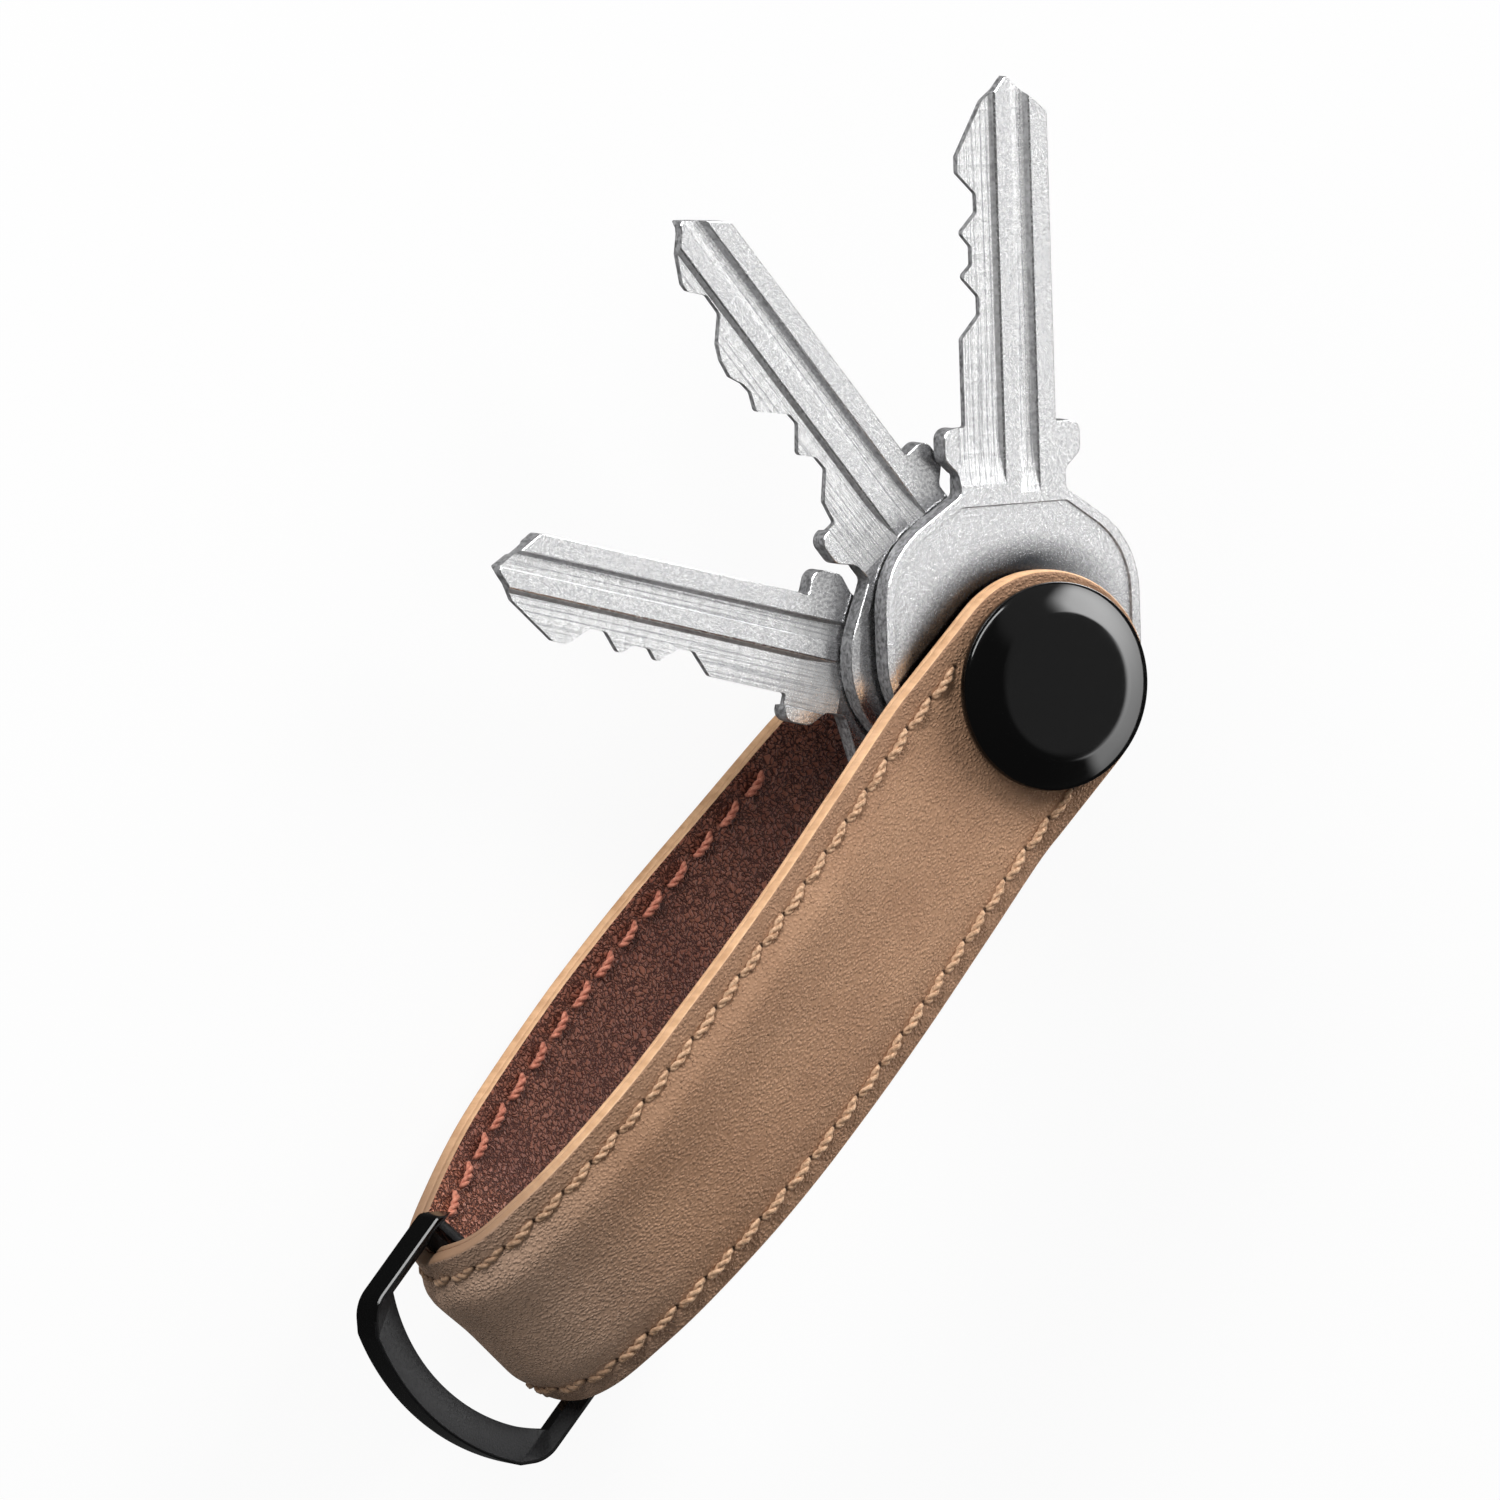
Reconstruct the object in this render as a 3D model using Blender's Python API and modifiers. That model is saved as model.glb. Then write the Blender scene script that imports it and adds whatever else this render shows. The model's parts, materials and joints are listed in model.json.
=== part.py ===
# A leather key organizer: a folded strap on a black screw post, with three door keys fanned out
# and a black loop held in the fold. Metres, +Z up. It lies flat on the head of its lock screw.
# The post's axis runs up through the strap's round end, and the strap runs from it towards -X.

from math import atan2, cos, pi, radians, sin, sqrt, tan

import bmesh
import bpy
import numpy as np
from mathutils import Matrix, Vector

# Gaps
fit_gap = 0.0003          # between pieces that rest on each other
running_gap = 0.00027     # between the rings and keys on the post
overrun = 0.002           # how far a cutter passes the surface it cuts
merge_distance = 0.000002

# Post, a flanged barrel with a threaded bore
post_radius = 0.0024
barrel_wall = 0.0006
bore_radius = post_radius - barrel_wall
drill_point_share = 0.5
flange_thickness = 0.0008
ring_edge = 0.0002        # broken edges of the post and the rings

# Front cap
cap_radius = 0.0088
cap_rim_radius = cap_radius - 0.0007
cap_flat_radius = cap_radius - 0.0027
cap_skirt = 0.0012        # wall between the rim and the recess for the flange
flange_radius = cap_rim_radius - cap_skirt - fit_gap
cap_waist_height = 0.0013
cap_dome_height = 0.0017

# Lock screw and the washer under its head
screw_head_radius = 0.0088
screw_head_height = 0.0032
screw_edge_round = 0.0009
screw_rim_width = 0.0023
shank_radius = bore_radius - fit_gap
shank_length = 0.0110         # above the rim of the head
shank_tip = 0.0005
bore_depth = shank_length + 0.0010
coin_slot_width = 0.0020
coin_slot_depth = 0.0011
screw_washer_radius = screw_head_radius - screw_rim_width - fit_gap
screw_washer_thickness = 0.0005
screw_washer_bore = shank_radius + fit_gap

# Leather strap, one outer layer and one lining, folded over at the far end
outer_thickness = 0.00135
glue_gap = 0.0002
lining_thickness = 0.0006
leaf_thickness = outer_thickness + glue_gap + lining_thickness
strap_reach = 0.0729          # post axis to the outside of the fold
head_half_width = 0.00965
middle_half_width = 0.0096
middle_width_share = 0.60     # where along the reach the strap has its middle width
fold_half_width = 0.0091
fold_corner_length = 0.0016   # the fold's corners are rounded off over this length
fold_corner_inset = 0.0008
leather_hole_radius = post_radius + 2 * fit_gap
edge_round = 0.00025
flat_margin = 0.0016          # how far the strap stays flat past the cap and the screw's head
flat_blend = 0.0024           # over which it then turns from flat to crowned

# The strap's outer face seen from the side, from the flat front leaf round the fold and back
# to the flat rear leaf: x as shares of the reach, height as shares of the leaves' spread.
fold_height_share = 0.563
strap_side_shares = [
    (0.274, 1.096), (0.421, 1.198), (0.562, 1.254), (0.700, 1.263), (0.831, 1.181),
    (0.892, 1.096), (0.952, 0.972), (0.986, 0.785), (1.000, fold_height_share),
    (0.989, 0.418), (0.956, 0.271), (0.889, 0.119), (0.809, -0.011), (0.737, -0.073),
    (0.595, -0.136), (0.457, -0.141), (0.322, -0.096), (0.189, -0.045),
]
path_steps = 2                # steps between two of these points

# Stitching, four rows: two outside and two on the lining
seam_margin = 0.0019
stitch_pitch = 0.0034
stitch_rise = 0.00015
thread_radius = 0.00025
thread_gap = 0.0002
lining_row_start = 0.0165     # the lining's rows start this far from the post

# Keys, one blank with two bittings
key_thickness = 0.0020
key_angles = [radians(45.0), radians(82.6), radians(119.6)]
key_hole_slack = 0.0021       # the blank's hole is this much wider than the post, all round
key_play_shares = [(0.048, 0.643), (0.048, 0.167), (-0.714, 0.476)]
key_hole_radius = post_radius + key_hole_slack
head_back = key_hole_radius + 0.0017    # hole centre to the far edge of the head
head_half = 0.0119
head_offset = 0.0004          # the head sits this far to the bitting side
head_back_round = 0.0090
head_side_round = 0.0045
head_side_end = 0.0116        # where the head's straight side turns towards the neck
neck_start = head_side_end + 0.0045
neck_end = neck_start + 0.0017
neck_round = 0.0007
lug_start = neck_end + 0.0014
lug_round = 0.0010
shoulder = lug_start + 0.0026           # hole centre to the shoulder stop
blade_length = 0.0294
blade_width = 0.0085
neck_half = blade_width / 2 + 0.0008
lug_half = neck_half + 0.00145
panel_front = neck_start - 0.0010
panel_border = 0.00085
panel_depth_share = 0.075
mill_start = neck_start + 0.0011        # where the milled faces of the blade begin

# What is milled off the blade's front and rear: low and high edge as shares of its width from
# its middle, and depth as a share of its thickness.
front_cut_shares = [(0.116, 0.618, 0.125), (-0.302, -0.087, 0.25)]
rear_cut_shares = [(-0.100, 0.618, 0.5), (-0.400, -0.230, 0.25)]

# Bitting outlines: distance from the shoulder as shares of the blade's length, height from the
# blade's middle as shares of its width.
bitting_shares = [
    (0.253, 0.500), (0.318, 0.297), (0.370, 0.297), (0.430, 0.483), (0.462, 0.366),
    (0.514, 0.366), (0.555, 0.483), (0.610, 0.297), (0.664, 0.297), (0.726, 0.500),
    (0.774, 0.500), (0.928, 0.203), (0.959, 0.064), (1.000, -0.058), (0.955, -0.227),
    (0.887, -0.500),
]
other_bitting_shares = [
    (0.069, 0.460), (0.137, 0.239), (0.185, 0.245), (0.229, 0.384), (0.298, 0.187),
    (0.336, 0.198), (0.414, 0.460), (0.466, 0.384), (0.503, 0.396), (0.545, 0.460),
    (0.600, 0.430), (0.644, 0.360), (0.705, 0.150), (0.774, 0.144), (0.825, 0.280),
    (0.849, 0.280), (0.928, 0.135), (0.969, -0.010), (1.000, -0.075), (0.955, -0.260),
    (0.890, -0.500),
]
key_bittings = [bitting_shares, other_bitting_shares, bitting_shares]

# Rings on the post
ring_bore_radius = post_radius + fit_gap
spacer_radius = key_hole_radius + 0.0015
spacer_thickness = 0.0020
flat_washer_radius = spacer_radius - 0.0003
flat_washer_thickness = 0.0005
wave_washer_radius = spacer_radius - 0.0004
wave_washer_sheet = 0.0003
wave_washer_swing = 0.00025
wave_count = 3
wave_steps = 36

# Loop
loop_bar_radius = 0.0009
loop_bar_gap = 0.00185        # bar to the inside of the fold
loop_setback = leaf_thickness + loop_bar_gap + loop_bar_radius
loop_bar_x = strap_reach - loop_setback
loop_skew = radians(3.0)      # the loose loop lies slightly askew in the fold
loop_side_play = 0.00015      # and a little to the strap's left
loop_side_gap = 0.00045
loop_arm_thickness = 0.0012
loop_inner_half = fold_half_width + loop_side_gap
loop_outer_half = loop_inner_half + loop_arm_thickness
loop_eye_gap = 0.0054         # fold to the inside of the bow
loop_bow_width = 0.0030
loop_reach = loop_setback + loop_eye_gap + loop_bow_width
bow_sag = 0.0021              # depth of the bow's outer arc
bow_inner_sag = 0.0032
bow_side_share = 0.83         # where along the half width the outer arc ends
loop_height = 0.0035
loop_land_share = 0.4         # of the height, left at the inner edge between the sloped faces
loop_rim = 0.00035
loop_tail = loop_bar_radius + 0.0004    # how far the arms pass the bar's axis
loop_corner_round = 0.0033

# Faces of the round shapes
round_steps = 48
small_round_steps = 32
bar_steps = 16
arc_steps = 12
dome_steps = 8
corner_steps = 6
small_corner_steps = 4
corner_room_share = 0.98      # how much of a short side one rounded corner may take
smooth_angle = radians(35)


def clear_scene():
    for item in list(bpy.data.objects):
        bpy.data.objects.remove(item)


def new_collection(name):
    group = bpy.data.collections.new(name)
    bpy.context.scene.collection.children.link(group)
    return group


clear_scene()
parts = new_collection("key_organizer")
cutters = new_collection("cutters")


def finish_material(name, color, metallic, roughness):
    made = bpy.data.materials.new(name)
    made.use_nodes = True
    shader = made.node_tree.nodes["Principled BSDF"]
    shader.inputs["Base Color"].default_value = (*color, 1.0)
    shader.inputs["Metallic"].default_value = metallic
    shader.inputs["Roughness"].default_value = roughness
    made.diffuse_color = (*color, 1.0)
    return made


tan_leather = (0.310, 0.185, 0.115)
brown_lining = (0.080, 0.027, 0.020)
tan_thread = (0.560, 0.350, 0.190)
salmon_thread = (0.610, 0.270, 0.150)
nickel = (0.560, 0.560, 0.550)
zinc = (0.400, 0.400, 0.410)
black_gloss = (0.010, 0.010, 0.010)
black_nylon = (0.018, 0.018, 0.018)


def add_object(name, mesh, color, metallic, roughness):
    made = bpy.data.objects.new(name, mesh)
    mesh.materials.clear()
    mesh.materials.append(finish_material(name, color, metallic, roughness))
    parts.objects.link(made)
    return made


def add_cutter(name, mesh):
    made = bpy.data.objects.new(name, mesh)
    made.hide_render = True
    made.display_type = "WIRE"
    cutters.objects.link(made)
    return made


def bmesh_to_mesh(name, shape):
    bmesh.ops.recalc_face_normals(shape, faces=shape.faces)
    mesh = bpy.data.meshes.new(name)
    shape.to_mesh(mesh)
    shape.free()
    return mesh


def boolean(target, cutter, operation="DIFFERENCE"):
    step = target.modifiers.new(cutter.name, "BOOLEAN")
    step.operation = operation
    step.solver = "EXACT"
    step.object = cutter


def bevel(target, width, segments, angle=radians(50)):
    step = target.modifiers.new("edge", "BEVEL")
    step.width = width
    step.segments = segments
    step.limit_method = "ANGLE"
    step.angle_limit = angle
    step.harden_normals = False


def settle(item):
    # Makes an item's modifiers part of its mesh, with its round faces shaded smooth.
    graph = bpy.context.evaluated_depsgraph_get()
    mesh = bpy.data.meshes.new_from_object(item.evaluated_get(graph))
    item.modifiers.clear()
    item.data = mesh
    mesh.shade_smooth()
    mesh.set_sharp_from_angle(angle=smooth_angle)


def turned(name, profile, steps, finish, bottom=0.0):
    # The profile runs down the outer side, from the axis or an inner edge at the top.
    mesh = bpy.data.meshes.new(name)
    points = [(radius, 0.0, height) for radius, height in profile]
    closed = profile[0][0] > 0.0
    edges = [(i, i + 1) for i in range(len(points) - 1)]
    if closed:
        edges.append((len(points) - 1, 0))
    mesh.from_pydata(points, edges, [])
    made = add_object(name, mesh, *finish)
    spin = made.modifiers.new("turn", "SCREW")
    spin.axis = "Z"
    spin.angle = 2 * pi
    spin.screw_offset = 0.0
    spin.steps = steps
    spin.render_steps = steps
    spin.use_merge_vertices = True
    spin.merge_threshold = merge_distance
    made.location.z = bottom
    return made


def ring_profile(inner, outer, height, edge):
    # Closed profile of a flat ring with broken outer edges, standing on zero.
    return [
        (inner, height), (outer - edge, height), (outer, height - edge), (outer, edge),
        (outer - edge, 0.0), (inner, 0.0),
    ]


def rounded_outline(corners, steps=corner_steps):
    # Corners are (x, y, radius). A corner with no radius stays sharp.
    points = []
    count = len(corners)
    for i, (x, y, radius) in enumerate(corners):
        here = Vector((x, y))
        if radius == 0:
            points.append(here)
            continue
        before = Vector(corners[i - 1][:2]) - here
        after = Vector(corners[(i + 1) % count][:2]) - here
        half = before.angle(after) / 2
        room = min(before.length, after.length)
        reach = min(radius / tan(half), room * corner_room_share)
        radius = reach * tan(half)
        start = here + before.normalized() * reach
        end = here + after.normalized() * reach
        middle = here + (before.normalized() + after.normalized()).normalized() * (radius / sin(half))
        first = atan2(start.y - middle.y, start.x - middle.x)
        turn = atan2(end.y - middle.y, end.x - middle.x) - first
        turn = (turn + pi) % (2 * pi) - pi
        for k in range(steps + 1):
            angle = first + turn * k / steps
            points.append(middle + Vector((cos(angle), sin(angle))) * radius)
    return points


def circle_outline(radius, steps, center=(0.0, 0.0)):
    return [
        Vector((center[0] + radius * cos(2 * pi * k / steps), center[1] + radius * sin(2 * pi * k / steps)))
        for k in range(steps)
    ]


def plate_mesh(name, outlines, bottom, top):
    # A flat plate from an outline and its holes, as a filled 2D curve with an extrude.
    curve = bpy.data.curves.new(name, "CURVE")
    curve.dimensions = "2D"
    curve.fill_mode = "BOTH"
    curve.extrude = (top - bottom) / 2
    for outline in outlines:
        spline = curve.splines.new("POLY")
        spline.points.add(len(outline) - 1)
        for point, place in zip(spline.points, outline):
            point.co = (place.x, place.y, 0.0, 1.0)
        spline.use_cyclic_u = True
    source = bpy.data.objects.new(name, curve)
    cutters.objects.link(source)
    evaluated = source.evaluated_get(bpy.context.evaluated_depsgraph_get())
    mesh = bpy.data.meshes.new_from_object(evaluated)
    bpy.data.objects.remove(source)
    bpy.data.curves.remove(curve)
    shape = bmesh.new()
    shape.from_mesh(mesh)
    bmesh.ops.remove_doubles(shape, verts=shape.verts, dist=merge_distance)
    bmesh.ops.translate(shape, verts=shape.verts, vec=(0.0, 0.0, (top + bottom) / 2))
    bpy.data.meshes.remove(mesh)
    return bmesh_to_mesh(name, shape)


def box_into(shape, low, high):
    size = [b - a for a, b in zip(low, high)]
    middle = [(a + b) / 2 for a, b in zip(low, high)]
    place = Matrix.Translation(middle) @ Matrix.Diagonal((*size, 1.0))
    bmesh.ops.create_cube(shape, size=1.0, matrix=place)


# Heights, stacked up from the face that the lock screw's head rests on
rear_outer = screw_head_height + fit_gap
rear_inner = rear_outer + leaf_thickness
wave_washer_height = wave_washer_sheet + 2 * wave_washer_swing
stack = [
    ("wave_washer", wave_washer_height), ("flat_washer", flat_washer_thickness),
    ("spacer_lower", spacer_thickness), ("spacer_upper", spacer_thickness),
    ("key_rear", key_thickness), ("key_middle", key_thickness), ("key_front", key_thickness),
]
seat = {}
level = rear_inner + running_gap
for ring_name, ring_height in stack:
    seat[ring_name] = level
    level += ring_height + running_gap
front_inner = level
front_outer = front_inner + leaf_thickness
leaf_spread = front_outer - rear_outer


def strap_path():
    # Points of the strap's outer face in the XZ plane, from the front leaf's round end to the
    # rear leaf's, on a smooth curve through the shares.
    end_x = head_half_width + overrun
    flat_end = max(cap_radius, screw_head_radius) + flat_margin
    flat_xs = [end_x, flat_blend - flat_end, -flat_end]
    places = [(x, front_outer) for x in flat_xs]
    places += [(-x * strap_reach, rear_outer + h * leaf_spread) for x, h in strap_side_shares]
    places += [(x, rear_outer) for x in reversed(flat_xs)]
    places = [np.array(p) for p in places]
    path = [places[0]]
    for i in range(1, len(places) - 2):
        p0, p1, p2, p3 = places[i - 1:i + 3]
        t0 = 0.0
        t1 = t0 + sqrt(np.linalg.norm(p1 - p0))
        t2 = t1 + sqrt(np.linalg.norm(p2 - p1))
        t3 = t2 + sqrt(np.linalg.norm(p3 - p2))
        for k in range(path_steps):
            t = t1 + (t2 - t1) * k / path_steps
            a1 = (t1 - t) / (t1 - t0) * p0 + (t - t0) / (t1 - t0) * p1
            a2 = (t2 - t) / (t2 - t1) * p1 + (t - t1) / (t2 - t1) * p2
            a3 = (t3 - t) / (t3 - t2) * p2 + (t - t2) / (t3 - t2) * p3
            b1 = (t2 - t) / (t2 - t0) * a1 + (t - t0) / (t2 - t0) * a2
            b2 = (t3 - t) / (t3 - t1) * a2 + (t - t1) / (t3 - t1) * a3
            path.append((t2 - t) / (t2 - t1) * b1 + (t - t1) / (t2 - t1) * b2)
    path += places[-2:]
    return np.array(path)


def path_normals(path):
    # Unit normals in the XZ plane, pointing out of the folded strap.
    tangents = np.gradient(path, axis=0)
    tangents /= np.linalg.norm(tangents, axis=1)[:, None]
    return np.stack([tangents[:, 1], -tangents[:, 0]], axis=1)


outer_path = strap_path()
outer_normals = path_normals(outer_path)


def half_width_at(x):
    share = np.clip(-x / strap_reach, 0.0, 1.0)
    widths = (head_half_width, middle_half_width, fold_half_width)
    return float(np.interp(share, (0.0, middle_width_share, 1.0), widths))


def strap_plan():
    # The strap seen from above: a half circle round the post and sides that draw in slightly.
    round_end = [
        Vector((head_half_width * cos(a), head_half_width * sin(a)))
        for a in np.linspace(-pi / 2, pi / 2, round_steps // 2 + 1)
    ]
    middle_x = -strap_reach * middle_width_share
    corner_x = -strap_reach + fold_corner_length
    left = [Vector((middle_x, middle_half_width))]
    for a in np.linspace(0.0, pi / 2, small_corner_steps + 1):
        inset = fold_corner_inset * (1 - cos(a))
        left.append(Vector((corner_x - fold_corner_length * sin(a), fold_half_width - inset)))
    left.append(Vector((-strap_reach - overrun, fold_half_width - fold_corner_inset)))
    right = [Vector((point.x, -point.y)) for point in reversed(left)]
    low = -overrun
    high = front_outer + leaf_spread
    return add_cutter("strap_plan", plate_mesh("strap_plan", [round_end + left + right], low, high))


def post_hole():
    low = -overrun
    high = front_outer + leaf_spread
    outline = circle_outline(leather_hole_radius, small_round_steps)
    return add_cutter("post_hole", plate_mesh("post_hole", [outline], low, high))


def strap_layer(name, depth, thickness, plan, hole, finish):
    # One layer of leather: a strip along the path, set in by depth and given its thickness.
    mesh = bpy.data.meshes.new(name)
    shape = bmesh.new()
    rows = []
    side = head_half_width + overrun
    for (x, z), (nx, nz) in zip(outer_path, outer_normals):
        place = (x - nx * depth, z - nz * depth)
        rows.append([shape.verts.new((place[0], y, place[1])) for y in (-side, side)])
    for a, b in zip(rows, rows[1:]):
        shape.faces.new((a[0], a[1], b[1], b[0]))
    shape.to_mesh(mesh)
    shape.free()
    made = add_object(name, mesh, *finish)
    wall = made.modifiers.new("thickness", "SOLIDIFY")
    wall.thickness = thickness
    wall.offset = -1.0
    wall.use_even_offset = True
    boolean(made, plan, "INTERSECT")
    boolean(made, hole)
    return made


def stitch_row(name, side, offset, rise, first_x, last_x, finish):
    # One thread along the path, off the leather's face by offset. It stands up by rise in the
    # middle of each stitch and dips at each stitch hole.
    lengths = np.concatenate([[0.0], np.cumsum(np.linalg.norm(np.diff(outer_path, axis=0), axis=1))])
    turn = int(np.argmin(outer_path[:, 0]))
    first = float(np.interp(first_x, -outer_path[:turn, 0], lengths[:turn]))
    last = float(np.interp(-last_x, outer_path[turn:, 0], lengths[turn:]))
    count = int((last - first) / stitch_pitch)
    curve = bpy.data.curves.new(name, "CURVE")
    curve.dimensions = "3D"
    curve.bevel_depth = thread_radius
    curve.bevel_resolution = 0
    curve.use_fill_caps = True
    spline = curve.splines.new("POLY")
    spline.points.add(2 * count)
    for k, point in enumerate(spline.points):
        station = first + k * stitch_pitch / 2
        x, z = (float(np.interp(station, lengths, outer_path[:, i])) for i in (0, 1))
        nx, nz = (float(np.interp(station, lengths, outer_normals[:, i])) for i in (0, 1))
        away = offset + rise * (k % 2)
        y = side * (half_width_at(x) - seam_margin)
        point.co = (x + nx * away, y, z + nz * away, 1.0)
    return add_object(name, curve, *finish)


def stitching():
    row_y = head_half_width - seam_margin
    under_cap = sqrt(max(cap_radius ** 2 - row_y ** 2, 0.0)) + 2 * thread_radius
    outside = thread_gap + thread_radius
    inside = -(leaf_thickness + thread_gap + thread_radius)
    outside_finish = (tan_thread, 0.0, 0.75)
    lining_finish = (salmon_thread, 0.0, 0.75)
    for side, word in ((1, "left"), (-1, "right")):
        outside_name = "thread_outside_" + word
        lining_name = "thread_lining_" + word
        stitch_row(outside_name, side, outside, stitch_rise, under_cap, under_cap, outside_finish)
        stitch_row(
            lining_name, side, inside, -stitch_rise, lining_row_start, lining_row_start, lining_finish
        )


def key_outline(bitting):
    head_low, head_high = head_offset - head_half, head_offset + head_half
    corners = [
        (shoulder, -lug_half, lug_round), (lug_start, -lug_half, lug_round),
        (neck_end, -neck_half, neck_round), (neck_start, -neck_half, neck_round),
        (head_side_end, head_low, head_side_round), (-head_back, head_low, head_back_round),
        (-head_back, head_high, head_back_round), (head_side_end, head_high, head_side_round),
        (neck_start, neck_half, neck_round), (neck_end, neck_half, neck_round),
        (lug_start, lug_half, lug_round), (shoulder, lug_half, lug_round),
        (shoulder, blade_width / 2, 0),
    ]
    corners += [(shoulder + s * blade_length, h * blade_width, 0) for s, h in bitting]
    corners.append((shoulder, -blade_width / 2, 0))
    return rounded_outline(corners)


def panel_outline():
    lean = (neck_start - head_side_end) / (head_half - neck_half)
    half = head_half - panel_border
    side_end = panel_front - lean * (half - neck_half)
    back = head_back - panel_border
    low, high = head_offset - half, head_offset + half
    side_round, back_round = head_side_round - panel_border, head_back_round - panel_border
    return rounded_outline([
        (panel_front, -neck_half, 0), (side_end, low, side_round), (-back, low, back_round),
        (-back, high, back_round), (side_end, high, side_round), (panel_front, neck_half, 0),
    ])


def key_mill_cutter(play):
    # What is milled off both faces: the head's sunk panel, the bitting band and the grooves.
    outline = [point + play for point in panel_outline()]
    sunk = panel_depth_share * key_thickness
    shape = bmesh.new()
    for low, high in ((-overrun, sunk), (key_thickness - sunk, key_thickness + overrun)):
        panel = plate_mesh("panel", [outline], low, high)
        shape.from_mesh(panel)
        bpy.data.meshes.remove(panel)
    start = mill_start + play.x
    end = shoulder + blade_length + overrun + play.x
    for low, high, depth in front_cut_shares + rear_cut_shares:
        low_y, high_y = (share * blade_width + play.y for share in (low, high))
        floor = depth * key_thickness
        if (low, high, depth) in front_cut_shares:
            low_z, high_z = key_thickness - floor, key_thickness + overrun
        else:
            low_z, high_z = -overrun, floor
        box_into(shape, (start, low_y, low_z), (end, high_y, high_z))
    return add_cutter("key_mill", bmesh_to_mesh("key_mill", shape))


def key(name, angle, play_shares, bitting):
    play = Vector(play_shares) * key_hole_slack
    outline = [point + play for point in key_outline(bitting)]
    hole = circle_outline(key_hole_radius, small_round_steps, play)
    mesh = plate_mesh(name, [outline, hole], 0.0, key_thickness)
    made = add_object(name, mesh, nickel, 1.0, 0.32)
    mill = key_mill_cutter(play)
    for item in (made, mill):
        item.location.z = seat[name]
        item.rotation_euler.z = angle
    boolean(made, mill)
    return made


def front_cap():
    # A domed disc with a flat top, hollowed underneath for the post's flange.
    rim = front_outer + fit_gap
    waist = front_outer + cap_waist_height
    top = waist + cap_dome_height
    dome = [
        (cap_flat_radius + (cap_radius - cap_flat_radius) * sin(a), waist + cap_dome_height * cos(a))
        for a in np.linspace(0.0, pi / 2, dome_steps + 1)
    ]
    recess_radius = flange_radius + fit_gap
    recess_top = rim + flange_thickness + fit_gap
    profile = [(0.0, top)] + dome + [
        (cap_rim_radius, rim), (recess_radius, rim), (recess_radius, recess_top), (0.0, recess_top),
    ]
    return turned("front_cap", profile, round_steps, (black_gloss, 0.0, 0.12))


def post():
    flange_bottom = front_outer + fit_gap
    flange_top = flange_bottom + flange_thickness
    end = rear_outer
    bore_top = end + bore_depth
    profile = [
        (0.0, flange_top), (flange_radius - ring_edge, flange_top),
        (flange_radius, flange_top - ring_edge), (flange_radius, flange_bottom),
        (post_radius, flange_bottom), (post_radius, end + ring_edge), (post_radius - ring_edge, end),
        (bore_radius, end), (bore_radius, bore_top), (0.0, bore_top + drill_point_share * bore_radius),
    ]
    return turned("post_barrel", profile, round_steps, (zinc, 1.0, 0.3))


def lock_screw():
    recess_floor = screw_head_height - screw_washer_thickness - fit_gap
    recess_radius = screw_head_radius - screw_rim_width
    tip = screw_head_height + shank_length
    middle = screw_head_radius - screw_edge_round
    edge = [
        (middle + screw_edge_round * cos(a), screw_edge_round - screw_edge_round * sin(a))
        for a in np.linspace(0.0, pi / 2, small_corner_steps + 1)
    ]
    profile = [
        (0.0, tip), (shank_radius - shank_tip, tip), (shank_radius, tip - shank_tip),
        (shank_radius, recess_floor), (recess_radius, recess_floor),
        (recess_radius, screw_head_height), (screw_head_radius - ring_edge, screw_head_height),
        (screw_head_radius, screw_head_height - ring_edge),
    ] + edge + [(0.0, 0.0)]
    made = turned("lock_screw", profile, round_steps, (black_gloss, 0.0, 0.2))
    shape = bmesh.new()
    reach = screw_head_radius + overrun
    half = coin_slot_width / 2
    box_into(shape, (-reach, -half, -overrun), (reach, half, coin_slot_depth))
    boolean(made, add_cutter("coin_slot", bmesh_to_mesh("coin_slot", shape)))
    return made


def flat_rings():
    grey = (zinc, 1.0, 0.35)
    nylon = (black_nylon, 0.0, 0.45)
    spacer = ring_profile(ring_bore_radius, spacer_radius, spacer_thickness, ring_edge)
    for name in ("spacer_lower", "spacer_upper"):
        turned(name, spacer, small_round_steps, nylon, seat[name])
    washer = ring_profile(ring_bore_radius, flat_washer_radius, flat_washer_thickness, ring_edge / 2)
    turned("flat_washer", washer, small_round_steps, grey, seat["flat_washer"])
    small = ring_profile(screw_washer_bore, screw_washer_radius, screw_washer_thickness, ring_edge / 2)
    bottom = screw_head_height - screw_washer_thickness
    turned("screw_washer", small, small_round_steps, nylon, bottom)


def wave_washer():
    # A thin spring ring whose sheet waves up and down, which keeps the keys from rattling.
    shape = bmesh.new()
    rows = []
    for k in range(wave_steps):
        angle = 2 * pi * k / wave_steps
        height = wave_washer_sheet / 2 + wave_washer_swing * (1 + sin(wave_count * angle))
        rows.append([
            shape.verts.new((radius * cos(angle), radius * sin(angle), height))
            for radius in (ring_bore_radius, wave_washer_radius)
        ])
    for a, b in zip(rows, rows[1:] + rows[:1]):
        shape.faces.new((a[0], a[1], b[1], b[0]))
    mesh = bpy.data.meshes.new("wave_washer")
    shape.to_mesh(mesh)
    shape.free()
    made = add_object("wave_washer", mesh, zinc, 1.0, 0.3)
    wall = made.modifiers.new("sheet", "SOLIDIFY")
    wall.thickness = wave_washer_sheet
    wall.offset = 0.0
    made.location.z = seat["wave_washer"]
    return made


def arc_through(half, apex, sag):
    # Points of the arc over (apex, 0) whose ends lie at half to both sides and sag behind it.
    radius = (half ** 2 + sag ** 2) / (2 * sag)
    sweep = atan2(half, radius - sag)
    return [
        Vector((apex - radius + radius * cos(a), radius * sin(a)))
        for a in np.linspace(-sweep, sweep, arc_steps + 1)
    ]


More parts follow.
